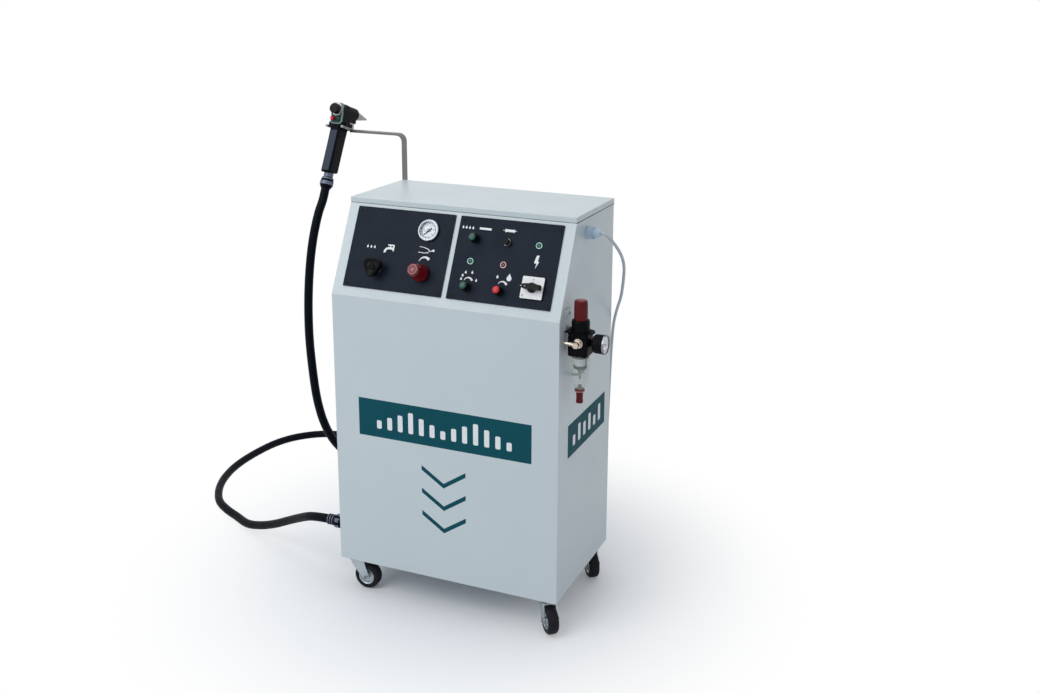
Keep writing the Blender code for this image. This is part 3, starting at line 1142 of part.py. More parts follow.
def make_gun(frame):
    gun = empty("gun_frame", frame, gun_place())
    black = material("gun_black")
    depth = 0.020
    front_low = grip_centre(GRIP_BOTTOM) + depth - 0.001
    rear_low = grip_centre(GRIP_BOTTOM) - depth + 0.001
    outline = [(rear_low, GRIP_BOTTOM), (front_low, GRIP_BOTTOM),
               (grip_centre(-0.075) + depth - 0.001, -0.075),
               (grip_centre(-0.040) + depth, -0.040), (0.0180, -0.028), (0.0280, -0.0135),
               (BARREL_FRONT - 0.004, -0.0135), (BARREL_FRONT - 0.002, 0.0040),
               (BARREL_FRONT - 0.007, 0.0130),
               (BARREL_REAR + 0.004, 0.0130), (BARREL_REAR, 0.0060),
               (BARREL_REAR, -0.0340), (grip_centre(-0.045) - depth, -0.0450),
               (grip_centre(-0.080) - depth + 0.001, -0.080)]
    sideways = Matrix(((0, 0, 1, 0), (1, 0, 0, 0), (0, 1, 0, 0), (0, 0, 0, 1)))
    half = GRIP_WIDTH / 2
    body = piece("gun_body", prism(outline, -half, half, place=sideways), black, gun)
    round_edges(body, 0.004, 2, 50.0)
    along = turn("X", -90)
    join(body, turned([(0.0, BARREL_FRONT), (BARREL_RADIUS - 0.003, BARREL_FRONT),
                       (BARREL_RADIUS, BARREL_FRONT - 0.004),
                       (BARREL_RADIUS, BARREL_REAR + 0.0005), (0.0, BARREL_REAR + 0.0005)], 24, place=along))
    head = prism(rounded_outline((-HEAD_HALF_WIDTH, -0.0335), (HEAD_HALF_WIDTH, 0.0150), 0.006),
                 BARREL_REAR - HEAD_PROUD, 0.004, place=turn("X", 90) @ Matrix.Diagonal((1, 1, -1, 1)))
    join(body, head)
    lip = prism(rounded_outline((-LIP_HALF_WIDTH, BARREL_REAR + 0.001), (LIP_HALF_WIDTH, 0.0165), 0.006),
                LIP_BOTTOM, LIP_BOTTOM + 0.0075)
    join(body, lip)
    cheek = TRIGGER_WIDTH / 2 + 0.0035
    slot = TRIGGER_WIDTH / 2 + GAP
    join(body, box((-cheek, TRIGGER_PIVOT[0] - 0.008, TRIGGER_PIVOT[1] - 0.004),
                   (cheek, TRIGGER_PIVOT[0] + 0.010, 0.0)))
    cut(body, box((-slot, TRIGGER_PIVOT[0] - 0.010, TRIGGER_PIVOT[1] - 0.006),
                  (slot, TRIGGER_PIVOT[0] + 0.012, TRIGGER_PIVOT[1] + 0.0052)))
    neck = [(0.0, 0.0), (0.0105, 0.0), (0.0105, 0.0160), (NUT_RADIUS - 0.0015, 0.0170),
            (NUT_RADIUS - 0.0015, 0.0220),
            (NUT_RADIUS, 0.0230), (NUT_RADIUS, 0.0350), (HOSE_DIAMETER / 2 + 0.0012, NECK_LENGTH),
            (0.0, NECK_LENGTH)]
    low = move(0.0, grip_centre(NECK_START), NECK_START) @ turn("X", 180 - GRIP_LEAN)
    join(body, turned(neck, 18, place=low))

    start = BARREL_FRONT + GAP
    nozzle = [(0.0, NOZZLE_TIP), (0.0018, NOZZLE_TIP), (0.0088, start + 0.0210), (0.0092, start + 0.0185),
              (0.0086, start + 0.0160), (0.0120, start + 0.0060), (0.0128, start + 0.0040), (0.0128, start),
              (0.0, start)]
    beige = material("nozzle_beige")
    piece("gun_nozzle", turned(nozzle, 20), beige, gun, along)

    back = BARREL_REAR - HEAD_PROUD - GAP
    knob_axis = empty("gun_knob_axis", gun, move(0.0, back, 0.0) @ turn("X", 90))
    length = GUN_KNOB_LENGTH
    grip_start = 0.0060
    knob = [circle(GUN_KNOB_RADIUS * 0.35, length, 24), circle(GUN_KNOB_RADIUS - 0.0020, length - 0.0003, 24),
            fluted_ring(GUN_KNOB_RADIUS - 0.0006, length - 0.0014, 24, 12, 0.0005),
            fluted_ring(GUN_KNOB_RADIUS, length - 0.0030, 24, 12, 0.0007),
            fluted_ring(GUN_KNOB_RADIUS, grip_start, 24, 12, 0.0007),
            circle(GUN_KNOB_NECK, grip_start - 0.0008, 24),
            circle(GUN_KNOB_NECK, 0.0, 24)]
    piece("gun_knob", loft(knob), black, knob_axis)

    pivot = empty("trigger_axis", gun, move(0.0, *TRIGGER_PIVOT))
    blade = [(0.0090, 0.0010), (0.0030, 0.0042), (-0.0032, 0.0034), (-0.0042, -0.0030), (0.0005, -0.0075),
             (0.0030, -0.0140), (0.0050, -0.0210), (0.0110, -0.0205), (0.0105, -0.0120), (0.0100, -0.0050)]
    reach = TRIGGER_WIDTH / 2
    trigger = piece("gun_trigger", prism(blade, -reach, reach, place=sideways), beige, pivot)
    round_edges(trigger, 0.0010, 1, 60.0)

    face = BARREL_REAR - HEAD_PROUD
    seated = BUTTON_TRAVEL + GAP - BUTTON_DEPTH
    for name, x, radius, proud in (("gun_green_button", *GREEN_BUTTON), ("gun_red_button", *RED_BUTTON)):
        hole = turned([(0.0, 0.004), (radius + GAP, 0.004), (radius + GAP, -BUTTON_DEPTH),
                       (0.0, -BUTTON_DEPTH)], 18,
                      place=move(x, face, BUTTON_ROW) @ turn("X", 90))
        cut(body, hole)
        seat = empty(name + "_axis", gun, move(x, face, BUTTON_ROW) @ turn("X", 90))
        cap = [(0.0, proud), (radius * 0.6, proud - 0.0004), (radius * 0.92, proud - 0.0014),
               (radius, proud - 0.0026),
               (radius, seated), (0.0, seated)]
        piece(name, turned(cap, 18), material(name + "_plastic"), seat)


# Inside

def make_tank(frame):
    steel = material("stainless_steel")
    floor = INSIDE_FLOOR
    top = floor + TANK_HEIGHT
    inner = TANK_RADIUS - TANK_WALL
    rim = TANK_RADIUS + TANK_FLANGE
    shell = [(rim, top), (rim, top - 0.005), (TANK_RADIUS, top - 0.005), (TANK_RADIUS, floor + 0.030),
             (TANK_RADIUS - 0.010, floor + 0.016), (TANK_RADIUS - 0.018, floor + 0.014),
             (TANK_RADIUS - 0.018, floor),
             (TANK_RADIUS - 0.022, floor), (TANK_RADIUS - 0.022, floor + 0.012), (0.0, floor + 0.010),
             (0.0, floor + 0.013), (TANK_RADIUS - 0.022, floor + 0.0175), (inner - 0.004, floor + 0.026),
             (inner, floor + 0.034), (inner, top)]
    tank = bmesh.new()
    turned(shell + shell[:1], 24, tank)
    piece("glue_tank", tank, steel, frame, move(TANK_AT[0], TANK_AT[1], 0.0))
    lift = empty("tank_lid_axis", frame, move(TANK_AT[0], TANK_AT[1], top + GAP))
    lid = [(0.0, 0.040), (0.0060, 0.040), (0.0140, 0.036), (0.0140, 0.030), (0.0060, 0.026), (0.0055, 0.012),
           (0.0600, 0.010), (rim - 0.006, 0.005), (rim, 0.004), (rim, 0.0), (inner - 0.002, 0.0),
           (inner - 0.002, -0.006), (0.0, -0.006)]
    piece("tank_lid", turned(lid, 24), steel, lift)


def make_solenoid(frame):
    black = material("black_plastic")
    floor = INSIDE_FLOOR
    x, y = 0.150, 0.060
    valve = piece("solenoid_valve", box((x - 0.030, y - 0.020, floor),
                                        (x + 0.030, y + 0.020, floor + 0.034)), black, frame)
    round_edges(valve, 0.002, 1)
    coil_low = floor + 0.030
    join(valve, turned([(0.0, coil_low + 0.050), (0.0050, coil_low + 0.050), (0.0060, coil_low + 0.044),
                        (0.0150, coil_low + 0.044), (0.0150, coil_low), (0.0, coil_low)], 20,
                       place=move(x, y)))


# Assembly

def stand_on_origin(frame):
    """Moves the frame so that the box of everything but the cords stands on the origin."""
    bpy.context.view_layer.update()
    graph = bpy.context.evaluated_depsgraph_get()
    low, high = Vector((9, 9, 9)), Vector((-9, -9, -9))
    for item in bpy.data.objects:
        if item.type != "MESH" or item.hide_render or item.name in CORDS:
            continue
        solid = item.evaluated_get(graph)
        for vertex in solid.data.vertices:
            point = solid.matrix_world @ vertex.co
            low = Vector(map(min, low, point))
            high = Vector(map(max, high, point))
    frame.location = (-(low.x + high.x) / 2, -(low.y + high.y) / 2, -low.z)


def main():
    clear_scene()
    frame = empty("machine_frame")
    make_cabinet(frame)
    make_base(frame)
    make_rear_panel(frame)
    make_lid(frame)
    make_lid_hinge(frame)
    for corner, (x, y) in castor_places().items():
        make_castor(frame, corner, x, y)
    fascia = empty("fascia_frame", frame, fascia_place())
    make_panel("panel_left", PANEL_LEFT, [(GAUGE_AT, GAUGE_CASE_RADIUS), (VALVE_AT, 0.0075),
                                          (PRESSURE_AT, PRESSURE_NECK_RADIUS)], fascia)
    make_panel("panel_right", PANEL_RIGHT, [(MODE_AT, 0.0042), (DOSE_AT, 0.0042), (TIME_AT, 0.0042),
                                            (FUSE_AT, 0.0065), (LAMP_MAINS_AT, 0.0045),
                                            (LAMP_DOSE_AT, 0.0045),
                                            (LAMP_TIME_AT, 0.0045), (SWITCH_AT, SWITCH_NECK_RADIUS)], fascia)
    make_gauge(fascia)
    make_valve(fascia)
    make_pressure_regulator(fascia)
    make_control_board(fascia)
    make_knob("mode_knob", MODE_AT, fascia)
    make_knob("dose_knob", DOSE_AT, fascia)
    make_knob("time_knob", TIME_AT, fascia)
    make_fuse(fascia)
    make_lamp("lamp_mains", LAMP_MAINS_AT, fascia)
    make_lamp("lamp_dose", LAMP_DOSE_AT, fascia)
    make_lamp("lamp_time", LAMP_TIME_AT, fascia)
    make_main_switch(fascia)
    make_filter(frame)
    make_cable(frame)
    make_hose(frame)
    make_holder(frame)
    make_gun(frame)
    make_tank(frame)
    make_solenoid(frame)
    stand_on_origin(frame)


main()
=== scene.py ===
# Looks of the glue dosing machine: finishes, printed signs, small fasteners, cords, camera and light.
# Metres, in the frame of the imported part; the routes and what stands in mm() and around() are in
# millimetres. "here" turns a point measured from the middle of the cabinet's floor plan into that frame.
from math import acos, atan2, cos, degrees, pi, radians, sin, sqrt, tan

import bmesh
import bpy
from mathutils import Matrix, Vector


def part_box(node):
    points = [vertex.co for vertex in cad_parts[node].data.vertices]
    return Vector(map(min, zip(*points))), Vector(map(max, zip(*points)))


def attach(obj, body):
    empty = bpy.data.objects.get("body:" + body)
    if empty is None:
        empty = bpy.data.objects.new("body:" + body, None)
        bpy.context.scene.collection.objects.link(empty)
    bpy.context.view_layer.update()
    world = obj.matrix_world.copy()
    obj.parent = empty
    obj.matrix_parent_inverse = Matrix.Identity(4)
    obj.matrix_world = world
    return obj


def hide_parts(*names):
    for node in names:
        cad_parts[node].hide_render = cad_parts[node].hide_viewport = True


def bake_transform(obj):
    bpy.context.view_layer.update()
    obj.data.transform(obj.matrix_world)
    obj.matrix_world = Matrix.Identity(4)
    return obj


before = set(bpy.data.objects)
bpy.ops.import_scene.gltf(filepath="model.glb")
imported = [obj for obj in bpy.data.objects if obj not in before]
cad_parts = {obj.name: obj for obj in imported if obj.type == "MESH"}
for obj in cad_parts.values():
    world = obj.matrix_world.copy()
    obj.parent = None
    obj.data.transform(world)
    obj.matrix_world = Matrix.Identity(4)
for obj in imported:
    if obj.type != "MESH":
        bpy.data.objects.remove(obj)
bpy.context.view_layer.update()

# Cabinet and fascia, and the small pieces seated on it
CABINET_WIDTH = 0.52
CABINET_DEPTH = 0.312
CASTOR_HEIGHT = 0.076
BODY_HEIGHT = 0.796
FASCIA_RISE = 0.182
FASCIA_SETBACK = 0.088
GAP = 0.0003
PANEL_SHEET = 0.002
PANEL_EDGE = 0.0235
PANEL_INNER = (-0.005, 0.0068)
PANEL_ROWS = (0.02, 0.195)
PANEL_SCREW_INSET = 0.008
SWITCH_SIZE = 0.0475
SWITCH_BASE_TOP = 0.008
SWITCH_PLATE = 0.0012
SWITCH_NECK_RADIUS = 0.011
SWITCH_DEPTH = 0.045
LEVER_TOP = 0.024
KNOB_TOP = 0.0245
KNOB_CAP_RADIUS = 0.0074
VALVE_KNOB_TOP = 0.028
PRESSURE_KNOB_TOP = 0.043
PRESSURE_NOSE_RADIUS = 0.0135
# Radii of the dark ring round the pressure knob's foot, painted shade under its skirt
PRESSURE_SHADE_RING = (0.0179, 0.0197)
FUSE_RING = (0.0071, 0.0076)
FUSE_FLANGE = 0.004
DIAL_SEAT = 0.00103
DIAL_RADIUS = 0.0181

# Castors
CASTOR_INSET_X = 0.032
CASTOR_INSET_Y = 0.028
CASTOR_TRAIL = 0.02
CASTOR_TURNS = {"front_left": 2, "front_right": -48, "rear_left": -75, "rear_right": -52}
WHEEL_RADIUS = 0.03
WHEEL_WIDTH = 0.024
RIM_RADIUS = 0.0188
AXLE_RADIUS = 0.004
AXLE_HEAD = 0.0052

# Filter, cable, hose, holder and gun
FILTER_OFFSET = 0.029
FILTER_FROM_FRONT = 0.041
FILTER_BELOW_TOP = 0.2083
FILTER_SIZE = 0.042
FILTER_BODY_HEIGHT = 0.0467
FILTER_BOSS = 0.0018
FILTER_KNOB_TOP = 0.0653
FILTER_KNOB_RADIUS = 0.0138
FILTER_DIAL_X = 0.0521
FILTER_DIAL_Z = -0.0202
FILTER_NECK_RADIUS = 0.014
FILTER_BRACKET_SHEET = 0.002
FILTER_BRACKET_HEIGHT = 0.045
FILTER_BRACKET_HALF = 0.017
BOWL_BOTTOM = -0.1192
BOWL_SEAT = 0.0055
ELEMENT_RADIUS = 0.0105
ELEMENT_HEIGHT = 0.017
NIPPLE_Z = -0.0172
GLAND_Y = -0.01
GLAND_BELOW_TOP = 0.03
GLAND_RIBS = 28
CABLE_DIAMETER = 0.0065
COIL_TURN_RADIUS = 0.0375
COIL_AT = (0.09, 0.245)
CABLE_SPACING = 0.004
HOSE_DIAMETER = 0.02
HOSE_SPACING = 0.01
HOSE_STRAIGHT = 0.03
HOSE_FITTING_FROM_FRONT = 0.026
HOSE_FITTING_Z = 0.148
HOSE_NUT = (0.01395, 0.01736)
BAR_THICK = 0.005
BAR_OFF_WALL = 0.005
BAR_OFF_REAR = 0.02
BAR_FOOT_BELOW_TOP = 0.102
BRACKET_SHEET = 0.003
BRACKET_FOOT = 0.04
ARM_ABOVE_TOP = 0.114
ARM_REACH = 0.1585
GUN_ABOVE_ARM = 0.0456
GUN_BEFORE_ARM = 0.0052
BARREL_DROP = 17.2
BARREL_REAR = -0.024
HEAD_HALF_WIDTH = 0.0145
HEAD_LOW = -0.0335
HEAD_HIGH = 0.015
HEAD_PROUD = 0.0008
GUN_KNOB_NECK = 0.0085
BUTTON_ROW = -0.0215
GREEN_BUTTON = (0.0046, 0.0066)
RED_BUTTON = (-0.0087, 0.0048)
GRIP_LEAN = 9.9
GRIP_TOP = -0.048
GRIP_BOTTOM = -0.15
GRIP_DEPTH = 0.02
NUT_BOTTOM = -0.187
NUT_RADIUS = 0.015
PRONG_OFFSET = 0.0205
PRONG_LINE = -0.04
PRONG_TIP = -0.031
ROD_RADIUS = 0.003

# Signs on the cabinet, in plain bars and chevrons
BAND_HALF = 0.202
BAND_ROWS = (0.3815, 0.4665)
SIDE_BAND = (-0.102, 0.1205)
SIDE_BAND_ROWS = (0.381, 0.453)
FILM = 0.00015
FILM_LIFT = 3e-5
PRINT_LIFT = 2e-5
SCREW_RECESS = 0.6

# The photograph's camera
IMAGE_WIDTH = 1040
IMAGE_HEIGHT = 693
SENSOR = 36
FOCAL_PIXELS = 1157.58
CAMERA_AT = (1.0594, -2.1709, 1.3633)
CAMERA_YAW = -21.604
CAMERA_PITCH = -13.882
CAMERA_ROLL = 0.7
PRINCIPAL = (561.1, 254.85)

# Light and floor
WHITE = (1, 1, 1, 1)
WORLD_COLOUR = (0.93, 0.97, 1, 1)
WORLD_STRENGTH = 0.46
FLOOR_COLOUR = (0.88, 0.91, 0.95, 1)
FLOOR_HALF = 30
FLOOR_FADE = (0.12, 0.82)
LIGHTS_AIM = (0, 0, 0.6)
# Name, place, size and power
LIGHTS = (("key", (-1.4, -2.4, 2.9), 3, 58), ("overhead", (-0.3, 0.3, 3.2), 2.2, 17))

# Worked out from the frame and the sizes above
CABINET_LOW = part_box("cabinet_body")[0]
MIDDLE = Vector((CABINET_LOW.x + CABINET_WIDTH / 2, CABINET_LOW.y + CABINET_DEPTH / 2, 0))
FRONT = -CABINET_DEPTH / 2
REAR = CABINET_DEPTH / 2
SIDE = CABINET_WIDTH / 2
BODY_TOP = CASTOR_HEIGHT + BODY_HEIGHT
BEND_Z = BODY_TOP - FASCIA_RISE
FASCIA_ANGLE = degrees(atan2(FASCIA_SETBACK, FASCIA_RISE))
FACE = GAP + PANEL_SHEET
FILTER_AT = (SIDE + FILTER_OFFSET, FRONT + FILTER_FROM_FRONT, BODY_TOP - FILTER_BELOW_TOP)
BAR_X = -SIDE - BAR_OFF_WALL
BAR_Y = REAR + BAR_OFF_REAR
GUN_AT = (BAR_X - ARM_REACH, BAR_Y - GUN_BEFORE_ARM, BODY_TOP + ARM_ABOVE_TOP + GUN_ABOVE_ARM)
NECK_START = GRIP_BOTTOM + 0.004
GRIP_SLOPE = tan(radians(GRIP_LEAN))
BODY = "machine"

# What stands on the panels
PANEL_LEFT = (-SIDE + PANEL_EDGE, PANEL_INNER[0])
PANEL_RIGHT = (PANEL_INNER[1], SIDE - PANEL_EDGE)


def across(panel, share, up):
    """A place on a panel: a share of its width from its left edge, and how far up the slope."""
    return (panel[0] + share * (panel[1] - panel[0]), up)


GAUGE_AT = across(PANEL_LEFT, 0.763, 0.156)
VALVE_AT = across(PANEL_LEFT, 0.313, 0.0642)
PRESSURE_AT = across(PANEL_LEFT, 0.767, 0.0645)
MODE_AT = across(PANEL_RIGHT, 0.184, 0.149)
DOSE_AT = across(PANEL_RIGHT, 0.184, 0.0478)
TIME_AT = across(PANEL_RIGHT, 0.504, 0.047)
FUSE_AT = across(PANEL_RIGHT, 0.495, 0.1484)
LAMPS = {"lamp_mains": across(PANEL_RIGHT, 0.798, 0.1483),
         "lamp_dose": across(PANEL_RIGHT, 0.175, 0.1017),
         "lamp_time": across(PANEL_RIGHT, 0.495, 0.1015)}
SWITCH_AT = across(PANEL_RIGHT, 0.81, 0.0614)

# Routes, as in the part's source, in millimetres
CABLE_ROUTE = [
    (290.4, -10, 842), (297, -10, 841.5), (306, 0, 831), (311, 22, 812.5), (313, 43, 794.5),
    (313, 64, 774.5), (310.5, 83, 750), (303, 102, 715), (290, 128, 673), (272, 157, 635), (261, 170, 600),
    (256, 173, 550), (253, 174, 480), (250, 176, 390), (246, 179, 300), (241, 184, 200), (234, 191, 110),
    (224, 201, 48), (208, 207, 14), (186, 207, 5), (162, 201, 4.2), (136, 195.3, 4.2), (110, 194.3, 4.2),
]
HOSE_ROUTE = [
    (-306.4, -130, 148), (-325, -130, 147.5), (-362, -119, 138), (-414, -92, 111), (-462, -69, 84),
    (-513, -48, 56), (-568, -29, 32), (-626, -8, 15), (-683, 22, 10.5), (-726, 42, 10.5), (-770, 70, 10.5),
    (-807, 111, 10.5), (-838, 162, 10.5), (-859, 215, 10.5), (-873, 278, 10.5), (-876, 362, 10.5),
    (-864, 450, 10.5), (-838, 506, 10.5), (-788, 554, 10.5), (-730, 576, 10.5), (-650, 581, 10.5),
    (-560, 568, 10.5), (-470, 537, 10.5), (-390, 486, 10.5), (-338, 420, 11), (-322, 350, 19),
    (-333, 285, 46), (-359, 228, 90), (-388, 172, 140), (-411, 128, 182), (-427, 92, 226), (-436, 64, 280),
    (-442, 45, 347), (-446, 34, 440), (-446, 27, 535), (-441, 27, 645), (-432, 35, 742), (-425.5, 55, 810),
]


# Places

def mm(*points):
    """Points given in millimetres, in metres."""
    return [tuple(c / 1000 for c in point) for point in points]


def around(at, *points):
    """Points given in millimetres from a place on a panel, in metres."""
    return [(at[0] + x, at[1] + y) for x, y in mm(*points)]


def move(x=0, y=0, z=0):
    return Matrix.Translation((x, y, z))


def turn(axis, angle):
    return Matrix.Rotation(radians(angle), 4, axis)


def here(x, y, z):
    return MIDDLE + Vector((x, y, z))


ROOM = Matrix.Translation(MIDDLE)
FASCIA = ROOM @ move(0, FRONT, BEND_Z) @ turn("X", 90 - FASCIA_ANGLE)
GUN = ROOM @ move(*GUN_AT) @ turn("X", -BARREL_DROP)
GRIP_END = GUN @ move(0, NECK_START * GRIP_SLOPE, NECK_START) @ turn("X", 180 - GRIP_LEAN)
FILTER = ROOM @ move(*FILTER_AT)
FRONT_WALL = ROOM @ move(0, FRONT, 0) @ turn("X", 90)
RIGHT_WALL = ROOM @ move(SIDE, 0, 0) @ turn("Z", 90) @ turn("X", 90)


# Objects, curves and shader nodes

def new_object(name, data):
    item = bpy.data.objects.new(name, data)
    bpy.context.collection.objects.link(item)
    return item


def add_spline(curve, points, closed):
    spline = curve.splines.new("POLY")
    spline.use_cyclic_u = closed
    spline.points.add(len(points) - 1)
    for point, place in zip(spline.points, points):
        point.co = (*place, 1)


def as_mesh(item, *finishes):
    """A mesh object with the same name and shape as a curve or text, in the row frame."""
    bpy.context.view_layer.update()
    graph = bpy.context.evaluated_depsgraph_get()
    graph.update()
    mesh = bpy.data.meshes.new_from_object(item.evaluated_get(graph))
    mesh.transform(item.matrix_world)
    mesh.materials.clear()
    for finish in finishes:
        mesh.materials.append(FINISH[finish])
    name = item.name
    bpy.data.objects.remove(item, do_unlink=True)
    return new_object(name, mesh)


def set_sockets(node, values):
    for socket, value in values.items():
        node.inputs[socket].default_value = value


def new_node(tree, kind, values=(), sources=(), **settings):
    """A shader node with values set on its sockets and other nodes' outputs linked into it."""
    node = tree.nodes.new("ShaderNode" + kind)
    for setting, value in settings.items():
        setattr(node, setting, value)
    set_sockets(node, dict(values))
    for socket, source in dict(sources).items():
        tree.links.new(source, node.inputs[socket])
    return node


# Camera, cords first

def make_camera():
    data = bpy.data.cameras.new("camera")
    data.sensor_width = SENSOR
    data.lens = SENSOR * FOCAL_PIXELS / IMAGE_WIDTH
    data.shift_x = (IMAGE_WIDTH / 2 - PRINCIPAL[0]) / IMAGE_WIDTH
    data.shift_y = (PRINCIPAL[1] - IMAGE_HEIGHT / 2) / IMAGE_WIDTH
    camera = new_object("camera", data)
    looking = turn("Z", -CAMERA_YAW) @ turn("X", 90 + CAMERA_PITCH) @ turn("Z", CAMERA_ROLL)
    camera.matrix_world = ROOM @ move(*CAMERA_AT) @ looking
    bpy.context.scene.camera = camera


def between(first, second, low, high, t):
    return first * ((high - t) / (high - low)) + second * ((t - low) / (high - low))


def smooth_path(points, spacing):
    """Points at even spacing along a centripetal Catmull-Rom curve through the route."""
    route = [Vector(p) for p in points]
    ends = [2 * route[0] - route[1]] + route + [2 * route[-1] - route[-2]]
    fine = []
    pieces = 24
    for i in range(1, len(ends) - 2):
        p0, p1, p2, p3 = ends[i - 1:i + 3]
        t1 = sqrt((p1 - p0).length)
        t2 = t1 + sqrt((p2 - p1).length)
        t3 = t2 + sqrt((p3 - p2).length)
        for k in range(pieces):
            t = t1 + (t2 - t1) * k / pieces
            middle = between(p1, p2, t1, t2, t)
            before = between(between(p0, p1, 0, t1, t), middle, 0, t2, t)
            after = between(middle, between(p2, p3, t2, t3, t), t1, t3, t)
            fine.append(between(before, after, t1, t2, t))
    fine.append(route[-1])
    lengths = [0]
    for a, b in zip(fine, fine[1:]):
        lengths.append(lengths[-1] + (b - a).length)
    steps = max(2, round(lengths[-1] / spacing))
    path = []
    at = 0
    for i in range(steps + 1):
        want = lengths[-1] * i / steps
        while at < len(fine) - 2 and lengths[at + 1] < want:
            at += 1
        share = (want - lengths[at]) / max(lengths[at + 1] - lengths[at], 1e-12)
        path.append(fine[at].lerp(fine[at + 1], min(max(share, 0), 1)))
    return path


def tube_curve(name, path, diameter, sides):
    curve = bpy.data.curves.new(name, "CURVE")
    curve.dimensions = "3D"
    curve.bevel_depth = diameter / 2
    curve.bevel_resolution = sides
    curve.use_fill_caps = True
    add_spline(curve, path, False)
    return new_object(name, curve)


def eased(share):
    share = min(max(share, 0), 1)
    return share * share * (3 - 2 * share)


def coil_points():
    """The coil's turns: three turns in on the floor, a step up, and out again on top of them."""
    columns = [COIL_TURN_RADIUS + CABLE_DIAMETER * k for k in (2.03, 1, 0, -1)]
    low = CABLE_DIAMETER / 2 + GAP
    step_length, rise_start, turns, count = 0.2, 2.75, 4.5, 28
    points = []
    for i in range(int(turns * count) + 1):
        t = i / count
        whole = int(t)
        share = eased((t - whole) / step_length)
        first, second = (whole, whole + 1) if whole < 3 else (6 - whole, 5 - whole)
        radius = columns[first] + (columns[second] - columns[first]) * share
        height = low + CABLE_DIAMETER * eased((t - rise_start) / step_length)
        angle = radians(-90 - 360 * t)
        points.append((COIL_AT[0] + radius * cos(angle), COIL_AT[1] + radius * sin(angle), height))
    return points


def plug_lead():
    """From the coil's last turn down into the plug's tail."""
    side = COIL_AT[1] + COIL_TURN_RADIUS + CABLE_DIAMETER
    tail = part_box("mains_plug")[0].x - MIDDLE.x
    steps = mm((-17, 9.9), (-9, 8.6), (-3, 6.2), (2, 5), (7, 6.6))
    return [(tail + x, side, z) for x, z in steps]


def make_cords():
    route = [here(*p) for p in mm(*CABLE_ROUTE) + coil_points() + plug_lead()]
    run = smooth_path(route, CABLE_SPACING)
    lead = tube_curve("mains_lead", run, CABLE_DIAMETER, 4)
    lead.data.materials.append(FINISH["cable"])
    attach(lead, BODY)
    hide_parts("mains_cable", "cable_coil")

    end = GUN @ Vector((0, (NUT_BOTTOM - GAP) * GRIP_SLOPE, NUT_BOTTOM - GAP))
    heading = (GUN.to_3x3() @ Vector((0, -GRIP_SLOPE, -1))).normalized()
    route = [here(*p) for p in mm(*HOSE_ROUTE)] + [end + heading * HOSE_STRAIGHT, end]
    run = smooth_path(route, HOSE_SPACING)
    hose = as_mesh(tube_curve("hose_skin", run, HOSE_DIAMETER, 8), "hose")
    hose.data.shade_smooth()
    hose.data.set_sharp_from_angle(angle=radians(60))
    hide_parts("glue_hose")
    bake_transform(hose)


